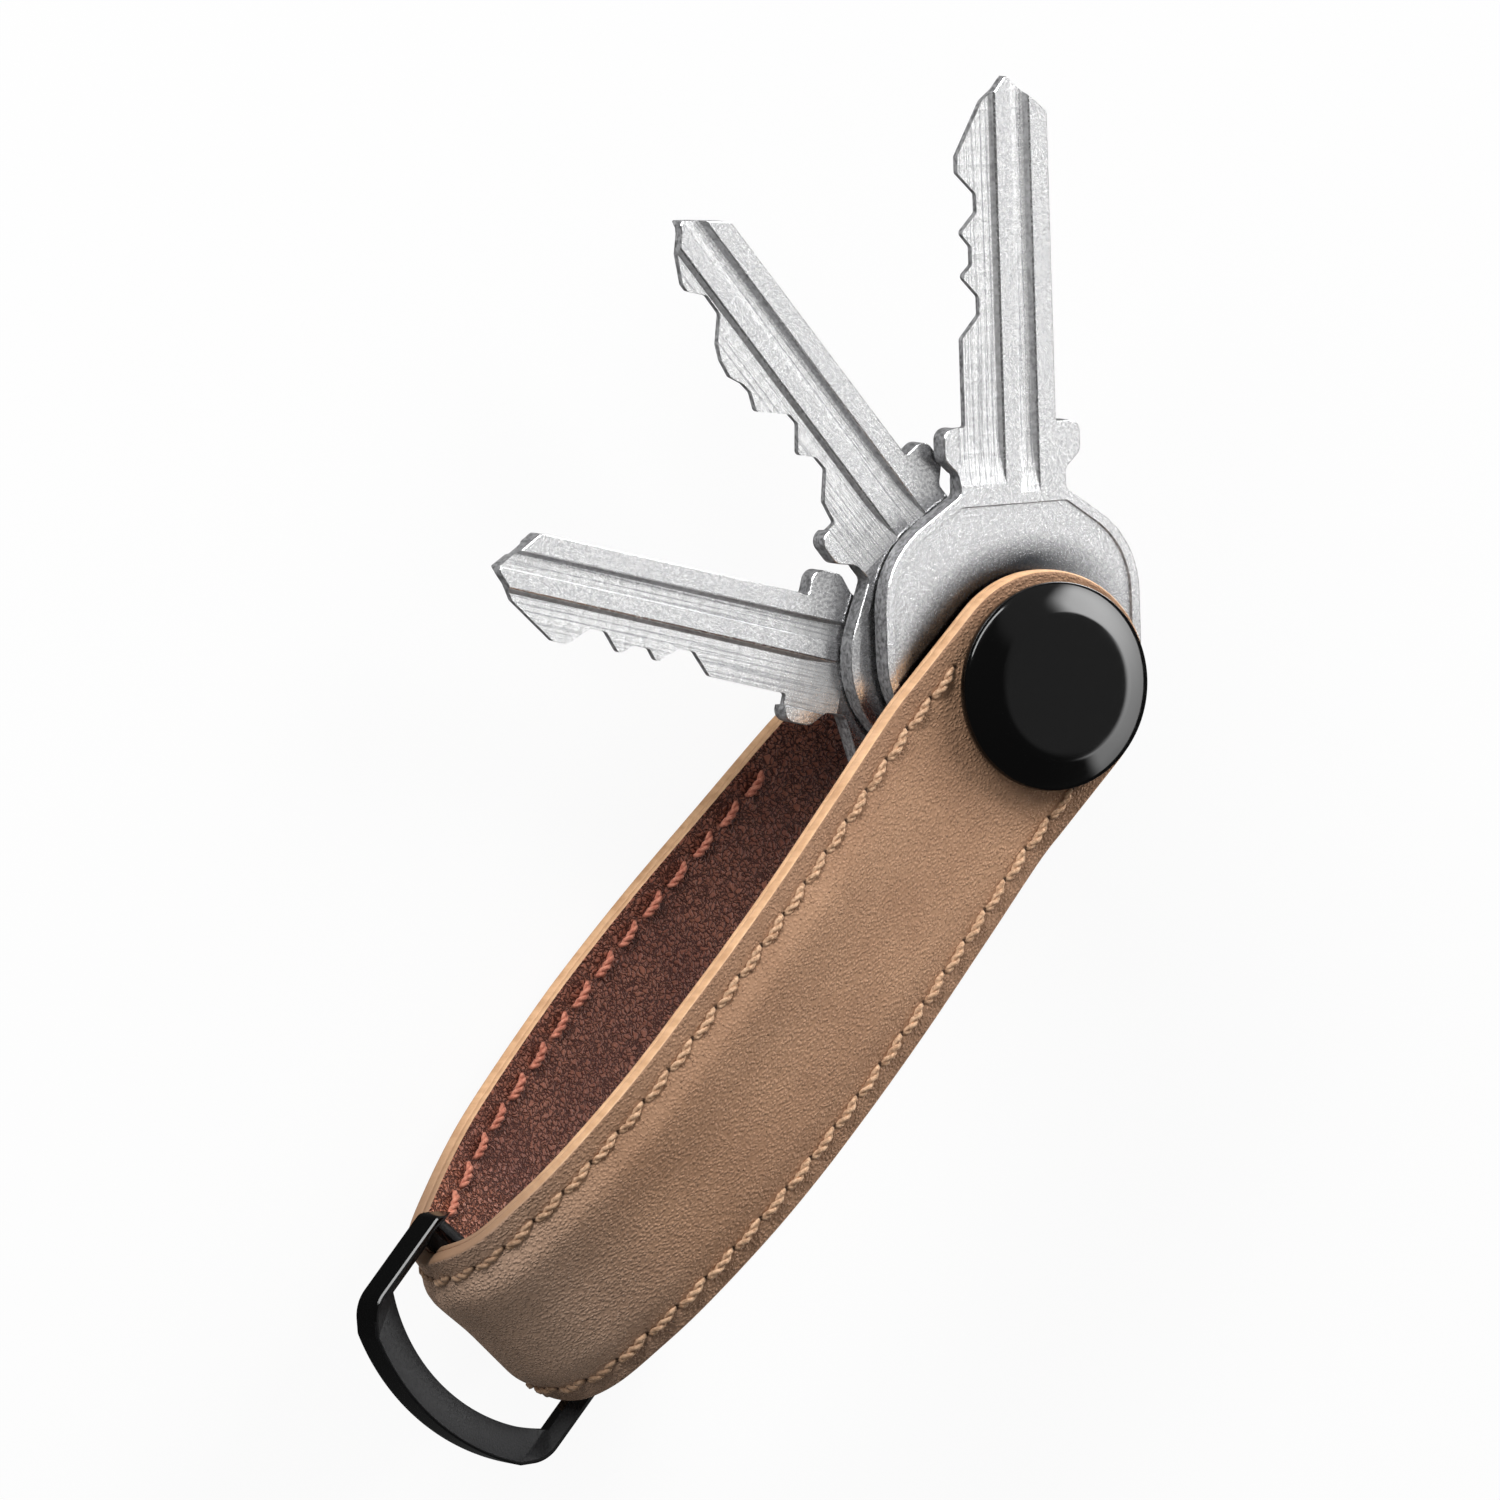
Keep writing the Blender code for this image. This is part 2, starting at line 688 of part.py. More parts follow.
def loop_outlines():
    # Outer and inner outline of the loop, the bow towards +X, the bar's axis at x = 0.
    bow_half = loop_outer_half * bow_side_share
    bow = arc_through(bow_half, loop_reach, bow_sag)
    tail = -loop_tail
    corner_x = loop_reach - bow_sag - (loop_outer_half - bow_half)
    corners = [(tail, -loop_inner_half, 0), (0.0, -loop_outer_half, 0)]
    corners.append((corner_x, -loop_outer_half, loop_corner_round))
    corners += [(point.x, point.y, 0) for point in bow]
    corners.append((corner_x, loop_outer_half, loop_corner_round))
    corners += [(0.0, loop_outer_half, 0), (tail, loop_inner_half, 0)]
    inner_bow = arc_through(loop_inner_half, loop_reach - loop_bow_width, bow_inner_sag)
    return rounded_outline(corners, small_corner_steps), inner_bow


def frustum_cutter(name, wide, narrow, wide_z, narrow_z, far_z):
    # The hull between a wide outline and a narrow one, which slopes a face inwards.
    shape = bmesh.new()
    for outline, height in ((wide, far_z), (wide, wide_z), (narrow, narrow_z)):
        for point in outline:
            shape.verts.new((point.x, point.y, height))
    hull = bmesh.ops.convex_hull(shape, input=shape.verts)
    loose = [v for v in hull["geom_interior"] if isinstance(v, bmesh.types.BMVert)]
    bmesh.ops.delete(shape, geom=loose, context="VERTS")
    return add_cutter(name, bmesh_to_mesh(name, shape))


def loop():
    # A cast loop: two flat arms, a wide bow with faces that slope inwards, and a round bar.
    outer, inner_bow = loop_outlines()
    half = loop_height / 2
    frame = plate_mesh("loop", [outer + inner_bow[::-1]], -half, half)
    made = add_object("loop", frame, black_gloss, 0.3, 0.22)
    back = Vector((-loop_tail - overrun, inner_bow[-1].y))
    inner = [back] + [Vector((back.x, -back.y))] + inner_bow
    center = Vector((loop_reach / 2, 0.0))
    shrink = 1 - loop_rim / loop_outer_half
    wide = [center + (point - center) * shrink for point in outer]
    land = loop_land_share * half
    far = half + overrun
    tools = [
        frustum_cutter("loop_slope_top", wide, inner, half, land, far),
        frustum_cutter("loop_slope_bottom", wide, inner, -half, -land, -far),
    ]
    shape = bmesh.new()
    bar_half = loop_outer_half - loop_arm_thickness / 2
    bmesh.ops.create_cone(
        shape, cap_ends=True, segments=bar_steps, radius1=loop_bar_radius, radius2=loop_bar_radius,
        depth=2 * bar_half, matrix=Matrix.Rotation(pi / 2, 4, "X"),
    )
    bar = add_cutter("loop_bar", bmesh_to_mesh("loop_bar", shape))
    for item in [made, bar] + tools:
        item.location = (-loop_bar_x, loop_side_play, rear_outer + fold_height_share * leaf_spread)
        item.rotation_euler.z = pi + loop_skew
    for tool in tools:
        boolean(made, tool)
    boolean(made, bar, "UNION")
    return made


def build():
    plan = strap_plan()
    hole = post_hole()
    leather = strap_layer(
        "outer_leather", 0.0, outer_thickness, plan, hole, (tan_leather, 0.0, 0.65)
    )
    bevel(leather, edge_round, 1)
    strap_layer(
        "lining", outer_thickness + glue_gap, lining_thickness, plan, hole, (brown_lining, 0.0, 0.6)
    )
    stitching()
    names = ("key_front", "key_middle", "key_rear")
    for name, angle, play_shares, bitting in zip(names, key_angles, key_play_shares, key_bittings):
        key(name, angle, play_shares, bitting)
    front_cap()
    post()
    flat_rings()
    wave_washer()
    lock_screw()
    loop()
    for item in parts.objects:
        if item.type == "MESH":
            settle(item)


def stand_on_origin():
    # Moves everything so that the middle of its footprint is the origin.
    root = bpy.data.objects.new("organizer", None)
    bpy.context.scene.collection.objects.link(root)
    bpy.context.view_layer.update()
    graph = bpy.context.evaluated_depsgraph_get()
    corners = []
    for item in parts.objects:
        mesh = item.evaluated_get(graph).to_mesh()
        places = np.empty(len(mesh.vertices) * 3, np.float32)
        mesh.vertices.foreach_get("co", places)
        places = places.reshape(-1, 3) @ np.array(item.matrix_world.to_3x3()).T
        places += np.array(item.matrix_world.translation)
        corners += [places.min(axis=0), places.max(axis=0)]
    low, high = np.min(corners, axis=0), np.max(corners, axis=0)
    for item in list(parts.objects) + list(cutters.objects):
        item.parent = root
    root.location = (-(low[0] + high[0]) / 2, -(low[1] + high[1]) / 2, -low[2])
    print("size", [round(float(v), 6) for v in high - low])
    print("post axis at", [round(v, 6) for v in root.location[:2]])
    print("heights", {name: round(height, 6) for name, height in seat.items()})
    print("front leaf", round(front_inner, 6), round(front_outer, 6), "rear leaf", round(rear_outer, 6))


build()
stand_on_origin()
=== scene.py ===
import json
from math import atan2, cos, pi, radians, sin, sqrt, tan

import bmesh
import bpy
import numpy as np
from mathutils import Matrix, Vector


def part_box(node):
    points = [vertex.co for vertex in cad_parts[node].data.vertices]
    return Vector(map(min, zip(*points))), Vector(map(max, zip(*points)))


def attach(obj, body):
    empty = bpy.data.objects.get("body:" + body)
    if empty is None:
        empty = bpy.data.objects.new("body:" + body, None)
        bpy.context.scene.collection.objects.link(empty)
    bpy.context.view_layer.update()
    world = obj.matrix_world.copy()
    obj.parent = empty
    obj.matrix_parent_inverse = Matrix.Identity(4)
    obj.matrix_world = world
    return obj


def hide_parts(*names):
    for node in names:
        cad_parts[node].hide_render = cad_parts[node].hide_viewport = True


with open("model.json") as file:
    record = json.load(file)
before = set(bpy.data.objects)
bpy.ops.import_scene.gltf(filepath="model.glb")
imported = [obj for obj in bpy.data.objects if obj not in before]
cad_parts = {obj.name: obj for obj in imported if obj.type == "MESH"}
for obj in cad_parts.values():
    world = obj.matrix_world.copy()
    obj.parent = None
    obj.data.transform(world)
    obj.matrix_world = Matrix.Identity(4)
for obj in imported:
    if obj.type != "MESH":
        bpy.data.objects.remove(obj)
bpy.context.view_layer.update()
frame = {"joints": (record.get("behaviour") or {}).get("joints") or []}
joints = {joint["name"]: joint for joint in frame["joints"]}

# Sizes below are in mm. Plans are drawn round the post's axis, heights from the floor.
metre = 1000.0
postX, postY = (value * metre for value in joints["key_front_turn"]["pos_m"][:2])
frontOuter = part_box("front_cap")[0].z * metre - 0.3
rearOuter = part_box("post_barrel")[0].z * metre
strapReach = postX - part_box("outer_leather")[0].x * metre
leafSpread = frontOuter - rearOuter
onPost = Matrix.Translation((postX, postY, 0.0))


def linearColor(code):
    # An sRGB hex colour as the linear values that a socket takes
    values = [int(code[i:i + 2], 16) / 255 for i in (1, 3, 5)]
    return tuple(v / 12.92 if v <= 0.04045 else ((v + 0.055) / 1.055) ** 2.4 for v in values) + (1.0,)


def addNode(tree, kind, inputs=None, **settings):
    # One node with its settings. An input is a value, or a socket or field to link from.
    node = tree.nodes.new(kind)
    for name, value in settings.items():
        setattr(node, name, value)
    for name, value in (inputs or {}).items():
        if isinstance(value, Field):
            value = value.socket
        if isinstance(value, bpy.types.NodeSocket):
            tree.links.new(value, node.inputs[name])
        else:
            node.inputs[name].default_value = value
    return node


def field(tree, kind, inputs=None, output=0, **settings):
    return Field(addNode(tree, kind, inputs, **settings).outputs[output])


class Field:
    # What a socket gives at each place, with the nodes that can follow it
    def __init__(self, socket):
        self.socket = socket

    def then(self, kind, inputs, output=0, **settings):
        return field(self.socket.id_data, kind, inputs, output, **settings)

    def math(self, operation, *others):
        return self.then("ShaderNodeMath", dict(enumerate((self, *others))), operation=operation)

    def __add__(self, other):
        return self.math("ADD", other)

    def __sub__(self, other):
        return self.math("SUBTRACT", other)

    def __rsub__(self, other):
        return self.then("ShaderNodeMath", {0: other, 1: self}, operation="SUBTRACT")

    def __mul__(self, other):
        return self.math("MULTIPLY", other)

    def __abs__(self):
        return self.math("ABSOLUTE")

    def ramp(self, low, high, toLow=0.0, toHigh=1.0):
        inputs = {"Value": self, "From Min": low, "From Max": high, "To Min": toLow, "To Max": toHigh}
        return self.then("ShaderNodeMapRange", inputs, "Result", interpolation_type="SMOOTHSTEP")

    def blend(self, first, second):
        # From the first colour to the second by this share, each a hex code or a field
        first, second = (linearColor(c) if isinstance(c, str) else c for c in (first, second))
        return self.then("ShaderNodeMix", {0: self, 6: first, 7: second}, 2, data_type="RGBA")

    def noise(self, scale, detail=2.0, roughness=0.5, output="Fac"):
        inputs = {"Vector": self, "Scale": scale, "Detail": detail, "Roughness": roughness}
        return self.then("ShaderNodeTexNoise", inputs, output)

    def warped(self, scale, detail, amount):
        # This place, moved about by a noise of its own
        shift = self.noise(scale, detail, output="Color")
        inputs = {0: shift, 1: (amount, amount, amount), 2: self}
        return self.then("ShaderNodeVectorMath", inputs, operation="MULTIPLY_ADD")

    def parts(self):
        outputs = addNode(self.socket.id_data, "ShaderNodeSeparateXYZ", {0: self}).outputs
        return [Field(part) for part in outputs]

    def length(self, across):
        pair = self.then("ShaderNodeCombineXYZ", {0: self, 1: across})
        return self.then("ShaderNodeVectorMath", {0: pair}, "Value", operation="LENGTH")

    def to(self, node, name):
        self.socket.id_data.links.new(self.socket, node.inputs[name])

    def bump(self, shader, distance, strength, base=None):
        inputs = {"Height": self, "Distance": distance, "Strength": strength}
        if base:
            inputs["Normal"] = base
        normal = self.then("ShaderNodeBump", inputs, "Normal")
        normal.to(shader, "Normal")
        return normal


def smoothStep(low, high, value):
    share = np.clip((value - low) / (high - low), 0.0, 1.0)
    return share * share * (3 - 2 * share)


def take(values, names):
    return [values[name] for name in names.split()]


def gridShape(grid, wrapRows=False, marks=None):
    # A bmesh from rows of points in mm. Columns close round; marks is one vector a point.
    rows, columns = grid.shape[:2]
    shape = bmesh.new()
    layer = shape.verts.layers.float_vector.new("surface") if marks is not None else None
    points = [[shape.verts.new(p) for p in row] for row in grid]
    if layer:
        for row, values in zip(points, marks):
            for vert, value in zip(row, values):
                vert[layer] = value
    lastRow = rows if wrapRows else rows - 1
    for i in range(lastRow):
        a, b = points[i], points[(i + 1) % rows]
        for j in range(columns):
            k = (j + 1) % columns
            shape.faces.new((a[j], a[k], b[k], b[j]))
    bmesh.ops.remove_doubles(shape, verts=shape.verts, dist=0.0005)
    bmesh.ops.dissolve_degenerate(shape, edges=shape.edges, dist=0.0001)
    return shape


def toMesh(name, shape):
    bmesh.ops.recalc_face_normals(shape, faces=shape.faces)
    mesh = bpy.data.meshes.new(name)
    shape.to_mesh(mesh)
    shape.free()
    return mesh


def ringsMesh(name, rings):
    # A solid from rings of as many points each, with its open ends closed
    shape = gridShape(np.array(rings))
    bmesh.ops.holes_fill(shape, edges=[edge for edge in shape.edges if edge.is_boundary])
    return toMesh(name, shape)


def addItem(data, name=None):
    # A scene object for a mesh, a curve, a lamp or a camera
    item = bpy.data.objects.new(name or data.name, data)
    bpy.context.scene.collection.objects.link(item)
    return item


def settled(item):
    # The mesh of an item with its modifiers made part of it; the item is removed
    graph = bpy.context.evaluated_depsgraph_get()
    mesh = bpy.data.meshes.new_from_object(item.evaluated_get(graph))
    bpy.data.objects.remove(item)
    return mesh


def carve(mesh, tools, operation="DIFFERENCE"):
    item = addItem(mesh)
    cutters = [addItem(tool) for tool in tools]
    for cutter in cutters:
        step = item.modifiers.new("carve", "BOOLEAN")
        step.operation = operation
        step.solver = "EXACT"
        step.object = cutter
    made = settled(item)
    for cutter in cutters:
        bpy.data.objects.remove(cutter)
    return made


def latheMesh(name, profile, steps, thread=None, wrap=False):
    # Turns a profile of (radius, height) points round the post's axis. With a thread, the points
    # that carry a third value of 1 follow its helix.
    angles = np.linspace(0.0, 2 * pi, steps, endpoint=False)
    grid = np.zeros((len(profile), steps, 3))
    for row, point in zip(grid, profile):
        radius = np.full(steps, float(point[0]))
        if thread and len(point) > 2:
            phase = (point[1] / thread["pitch"] - angles / (2 * pi)) % 1.0
            radius -= thread["depth"] * point[2] * np.abs(2 * phase - 1)
        row[:, 0] = radius * np.cos(angles)
        row[:, 1] = radius * np.sin(angles)
        row[:, 2] = point[1]
    return toMesh(name, gridShape(grid, wrapRows=wrap))


def roundedOutline(corners, steps):
    # Corners are (x, y, radius). Two corners share the side between them, and one with no radius
    # stays sharp.
    count = len(corners)
    places = [Vector(corner[:2]) for corner in corners]
    sides = [(places[(i + 1) % count] - places[i]) for i in range(count)]
    halves = [(-sides[i - 1]).angle(sides[i]) / 2 for i in range(count)]
    wanted = [corner[2] / tan(half) for corner, half in zip(corners, halves)]
    needed = [max(wanted[i] + wanted[(i + 1) % count], 1e-9) for i in range(count)]
    shares = [min(1.0, 0.98 * side.length / need) for side, need in zip(sides, needed)]
    points = []
    for i, here in enumerate(places):
        if corners[i][2] == 0:
            points.append(here)
            continue
        before, after, half = (-sides[i - 1]).normalized(), sides[i].normalized(), halves[i]
        reach = wanted[i] * min(shares[i - 1], shares[i])
        radius = reach * tan(half)
        middle = here + (before + after).normalized() * (radius / sin(half))
        start, end = here + before * reach, here + after * reach
        first = atan2(start.y - middle.y, start.x - middle.x)
        turn = atan2(end.y - middle.y, end.x - middle.x) - first
        turn = (turn + pi) % (2 * pi) - pi
        for angle in (first + turn * k / steps for k in range(steps + 1)):
            points.append(middle + Vector((cos(angle), sin(angle))) * radius)
    return points


def circleOutline(radius, steps, middle=(0.0, 0.0)):
    angles = [2 * pi * k / steps for k in range(steps)]
    return [Vector((middle[0] + radius * cos(a), middle[1] + radius * sin(a))) for a in angles]


def plateMesh(name, outlines, low, high, edge=0.0):
    # A plate from an outline and its holes, with edges rounded by edge
    curve = bpy.data.curves.new(name, "CURVE")
    curve.dimensions = "2D"
    curve.fill_mode = "BOTH"
    curve.extrude = (high - low) / 2 - edge
    curve.bevel_depth = edge
    curve.bevel_resolution = 0
    curve.offset = -edge
    for outline in outlines:
        spline = curve.splines.new("POLY")
        spline.points.add(len(outline) - 1)
        for point, place in zip(spline.points, outline):
            point.co = (place.x, place.y, 0.0, 1.0)
        spline.use_cyclic_u = True
    mesh = settled(addItem(curve))
    bpy.data.curves.remove(curve)
    shape = bmesh.new()
    shape.from_mesh(mesh)
    bmesh.ops.remove_doubles(shape, verts=shape.verts, dist=0.0005)
    bmesh.ops.translate(shape, verts=shape.verts, vec=(0.0, 0.0, (low + high) / 2))
    return toMesh(name, shape)


def markLocal(mesh):
    # Keeps each point's own place in mm, before the piece is turned and set down
    layer = mesh.attributes.get("surface") or mesh.attributes.new("surface", "FLOAT_VECTOR", "POINT")
    places = np.empty(len(mesh.vertices) * 3, np.float32)
    mesh.vertices.foreach_get("co", places)
    layer.data.foreach_set("vector", places)


def finishPiece(
    name, mesh, materials, nodes, body="strap", place=onPost, angle=32, crispFlats=False,
):
    # Sets a mesh in mm down in the frame, in metres, as a piece on its body. With crispFlats no
    # shading runs over from a wall or a run-out into the level faces.
    mesh.transform(Matrix.Scale(1 / metre, 4) @ place)
    mesh.materials.clear()
    for material in materials:
        mesh.materials.append(material)
    mesh.shade_smooth()
    mesh.set_sharp_from_angle(angle=radians(angle))
    if crispFlats:
        shape = bmesh.new()
        shape.from_mesh(mesh)
        for edge in shape.edges:
            level = [abs(face.normal.z) > 0.9999 for face in edge.link_faces]
            if any(level) and not all(level):
                edge.smooth = False
        shape.to_mesh(mesh)
        shape.free()
    piece = addItem(mesh, name)
    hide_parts(*nodes)
    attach(piece, body)


def newMaterial(name, color, roughness, metallic=0.0, specular=None):
    material = bpy.data.materials.new(name)
    material.use_nodes = True
    shader = material.node_tree.nodes["Principled BSDF"]
    shader.inputs["Base Color"].default_value = linearColor(color)
    shader.inputs["Roughness"].default_value = roughness
    shader.inputs["Metallic"].default_value = metallic
    if specular is not None:
        shader.inputs["Specular IOR Level"].default_value = specular
    material.diffuse_color = linearColor(color)
    return material, material.node_tree, shader


def surfacePlace(tree, stretch=(1.0, 1.0, 1.0)):
    # The piece's own place on its surface in mm, stretched along its axes
    mark = addNode(tree, "ShaderNodeAttribute", attribute_name="surface").outputs["Vector"]
    return field(tree, "ShaderNodeMapping", {"Vector": mark, "Scale": stretch})


def objectPlace(tree, middle=(0.0, 0.0, 0.0), stretch=(1.0, 1.0, 1.0)):
    # Object coordinates in mm round a middle point in metres
    place = addNode(tree, "ShaderNodeTexCoord").outputs["Object"]
    scale = tuple(metre * s for s in stretch)
    shift = tuple(-m * s for m, s in zip(middle, scale))
    return field(tree, "ShaderNodeMapping", {"Vector": place, "Location": shift, "Scale": scale})


print("stage: camera, floor and lights")
cameraValues = {
    "right": (0.59654574, -0.63879212, 0.48587839),
    "up": (0.75556507, 0.65115114, -0.07157946),
    "toward": (-0.27065587, 0.40981316, 0.87109045),
    "distance": 2525.25,      # from the middle of the cap
    "aim": (-25.59, -5.335),  # right and up from there to the picture's middle
    "lens": 723.2,            # mm on a 36 mm sensor
    "capMiddle": 1.3,         # above the strap's face
}


def makeCamera(values):
    right, up, toward = (Vector(way) for way in take(values, "right up toward"))
    cap = Vector((postX, postY, frontOuter + values["capMiddle"]))
    place = cap + toward * values["distance"]
    aim = cap + right * values["aim"][0] + up * values["aim"][1]
    back = (place - aim).normalized()
    side = up.cross(back).normalized()
    turn = Matrix((side, back.cross(side), back)).transposed().to_4x4()
    lens = bpy.data.cameras.new("camera")
    lens.sensor_width = 36.0
    lens.lens = values["lens"]
    camera = addItem(lens)
    camera.matrix_world = Matrix.Translation(place / metre) @ turn
    bpy.context.scene.camera = camera


stageValues = {
    "floorSize": 6.0, "floorDrop": 0.00005, "floorColor": "#f4f4f4", "shadowShare": 0.08,
    "floorReflected": 0.04, "worldStrength": 0.30,
    # what glossy things see: a room that is white towards this side and dark behind,
    "brightWay": (0.95, -0.10, 0.30), "darkSide": 0.15, "white": (0.34, 0.52, 0.78),
    # and in it one wide window, between these ends of x, y and z, with a brighter half
    "windowX": (-0.02, 0.12), "windowY": (0.26, 0.0), "windowZ": (0.74, 0.60),
    "windowLow": 7.0, "windowHigh": 14.5,
    "lampAim": (0.0, 0.0, 0.012),
    "lamps": [  # name, direction, distance m, width m, height m, power W, seen in glossy things
        ("lampRight", (0.88, 0.0, 0.48), 0.9, 0.45, 0.45, 5.4, False),
        ("lampLeft", (0.12, 0.89, 0.42), 0.9, 0.75, 0.16, 7.8, True),
    ],
}


def makeStage(values):
    scene = bpy.context.scene
    scene.view_settings.view_transform = "Standard"
    world = bpy.data.worlds.new("studio")
    scene.world = world
    world.use_nodes = True
    tree = world.node_tree
    tree.nodes.clear()
    rays = addNode(tree, "ShaderNodeLightPath").outputs
    way = field(tree, "ShaderNodeTexCoord", output="Generated")
    toward = {0: way, 1: Vector(values["brightWay"]).normalized()}
    start, end, amount = values["white"]
    room = way.then("ShaderNodeVectorMath", toward, "Value", operation="DOT_PRODUCT")
    room = room.ramp(start, end, values["darkSide"], amount)
    parts = way.parts()
    low, high = values["windowLow"], values["windowLow"] + values["windowHigh"]
    window = parts[1].ramp(-0.95, -0.15, low, high) * parts[2].ramp(0.0, 0.45, 0.45, 1.0)
    for part, axis in zip(parts, "XYZ"):
        window = window * part.ramp(*values["window" + axis])
    strength = values["worldStrength"]
    shown = (("Is Glossy Ray", room + window), ("Is Camera Ray", 1.0), ("Is Transmission Ray", 1.0))
    for ray, seen in shown:
        strength = field(tree, "ShaderNodeMix", {0: rays[ray], 2: strength, 3: seen})
    sky = addNode(tree, "ShaderNodeBackground", {"Strength": strength})
    addNode(tree, "ShaderNodeOutputWorld", {"Surface": sky.outputs[0]})
    world.cycles.sampling_method = "NONE"   # so that glossy rays alone see the glossy room

    # The floor is white to the camera, takes a faint shadow and hardly shows in glossy things
    material, tree, shader = newMaterial("paintedStudioFloor", values["floorColor"], 0.9)
    tree.nodes.remove(shader)
    rays = addNode(tree, "ShaderNodeLightPath").outputs
    glossyRay = Field(rays["Is Glossy Ray"])
    seen = Field(rays["Is Camera Ray"]).math("MAXIMUM", rays["Is Transmission Ray"])
    share = (seen * (1 - values["shadowShare"])).math("MAXIMUM", glossyRay * values["floorReflected"])
    matt = field(tree, "ShaderNodeBsdfDiffuse", {"Color": linearColor(values["floorColor"])})
    glow, dark = (field(tree, "ShaderNodeEmission", {"Strength": s}) for s in (1.0, 0.0))
    plain = field(tree, "ShaderNodeMixShader", {0: glossyRay, 1: matt, 2: dark})
    painted = field(tree, "ShaderNodeMixShader", {0: share, 1: plain, 2: glow})
    painted.to(tree.nodes["Material Output"], "Surface")
    half = values["floorSize"] / 2
    mesh = bpy.data.meshes.new("floor")
    corners = [(x * half, y * half, -values["floorDrop"]) for x, y in ((-1, -1), (1, -1), (1, 1), (-1, 1))]
    mesh.from_pydata(corners, [], [(0, 1, 2, 3)])
    mesh.materials.append(material)
    floor = addItem(mesh)

    for name, way, distance, width, height, power, mirrored in values["lamps"]:
        lamp = bpy.data.lights.new(name, "AREA")
        lamp.shape = "RECTANGLE"
        lamp.size, lamp.size_y = width, height
        lamp.energy = power
        way = Vector(way).normalized()
        item = addItem(lamp)
        item.visible_glossy = mirrored
        item.location = Vector(values["lampAim"]) + way * distance
        item.rotation_euler = way.to_track_quat("Z", "Y").to_euler()


makeCamera(cameraValues)
makeStage(stageValues)


print("stage: leather strap")
strap = {
    "headHalf": 9.65, "middleHalf": 9.6, "middleShare": 0.60, "foldHalf": 9.1,
    "cornerLength": 1.6, "cornerInset": 0.8,
    "flatEnd": 10.4, "flatBlend": 2.4, "pathEnd": 11.65,
    # the outer face seen from the side: x as shares of the reach, height as shares of the spread
    "sideShares": [
        (0.274, 1.096), (0.421, 1.198), (0.562, 1.254), (0.700, 1.263), (0.831, 1.181),
        (0.892, 1.096), (0.952, 0.972), (0.986, 0.785), (1.000, 0.563),
        (0.989, 0.418), (0.956, 0.271), (0.889, 0.119), (0.809, -0.011), (0.737, -0.073),
        (0.595, -0.136), (0.457, -0.141), (0.322, -0.096), (0.189, -0.045),
    ],
    "station": 0.34, "arcSteps": 48, "pathSteps": 28, "tableGap": 0.02,
    "outerThickness": 1.42, "liningTop": 1.47, "liningBottom": 2.15, "holeRadius": 3.0,
    "edgeRound": 0.42, "seamInset": 1.9, "seamMargin": 0.4,
    "crown": 1.05, "crownStart": 10.6, "crownFull": 30.0, "crownRise": 2.5, "crownDip": 0.55,
    "grooveDepth": 0.13, "grooveWidth": 0.34, "marginDrop": 0.16,
    "pinch": 0.85, "pinchLength": 4.2, "pinchedCrown": 0.55,
}
stitch = {
    "pitch": 3.4, "outsideStart": 4.67, "liningStart": 16.5,
    "outsideLength": 3.3, "liningLength": 2.6,
    "bow": 0.16,
    "ply": {
        "Ply Radius": 0.225, "Ply Spread": 0.19, "Turns": 1.8, "Rise": 0.24, "Sink": 0.30,
        "Slant": 0.2, "Jitter": 0.06,
    },
}


def strapPath(values):
    # Fine points of the strap's outer face in the XZ plane, front leaf first, on a smooth curve
    # through the given ones, with knots apart by the roots of the distances
    ends = [values["pathEnd"], values["flatBlend"] - values["flatEnd"], -values["flatEnd"]]
    places = [(x, frontOuter) for x in ends]
    places += [(-x * strapReach, rearOuter + h * leafSpread) for x, h in values["sideShares"]]
    places += [(x, rearOuter) for x in reversed(ends)]
    places = [np.array(p) for p in places]
    path, steps = [places[0]], values["pathSteps"]
    for i in range(1, len(places) - 2):
        around = places[i - 1:i + 3]
        gaps = [sqrt(np.linalg.norm(b - a)) for a, b in zip(around, around[1:])]
        knots = [sum(gaps[:k]) for k in range(4)]
        for k in range(steps):
            t, near = knots[1] + (knots[2] - knots[1]) * k / steps, around
            for pairs in (((0, 1), (1, 2), (2, 3)), ((0, 2), (1, 3)), ((1, 2),)):
                near = [
                    (knots[b] - t) / (knots[b] - knots[a]) * p + (t - knots[a]) / (knots[b] - knots[a]) * q
                    for (a, b), p, q in zip(pairs, near, near[1:])
                ]
            path.append(near[0])
    return np.array(path + places[-2:])


class StrapLine:
    # The strap's outer face as a line: places and outward normals by length from the front post hole
    def __init__(self, values):
        path = strapPath(values)
        lengths = np.concatenate([[0.0], np.cumsum(np.linalg.norm(np.diff(path, axis=0), axis=1))])
        self.path = path
        self.lengths = lengths - values["pathEnd"]
        self.total = lengths[-1] - 2 * values["pathEnd"]
        tangents = np.gradient(path, self.lengths, axis=0)
        tangents /= np.linalg.norm(tangents, axis=1)[:, None]
        self.normals = np.stack([tangents[:, 1], -tangents[:, 0]], axis=1)
        self.turn = int(np.argmin(path[:, 0]))
        self.fold = float(self.lengths[self.turn])

    def at(self, station):
        place, normal = (
            np.stack([np.interp(station, self.lengths, track[:, i]) for i in (0, 1)], axis=-1)
            for track in (self.path, self.normals)
        )
        return place, normal / np.linalg.norm(normal, axis=-1, keepdims=True)

    def stationAt(self, x, front=True):
        if front:
            return float(np.interp(x, -self.path[:self.turn, 0], self.lengths[:self.turn]))
        return float(np.interp(-x, self.path[self.turn:, 0], self.lengths[self.turn:]))


line = StrapLine(strap)


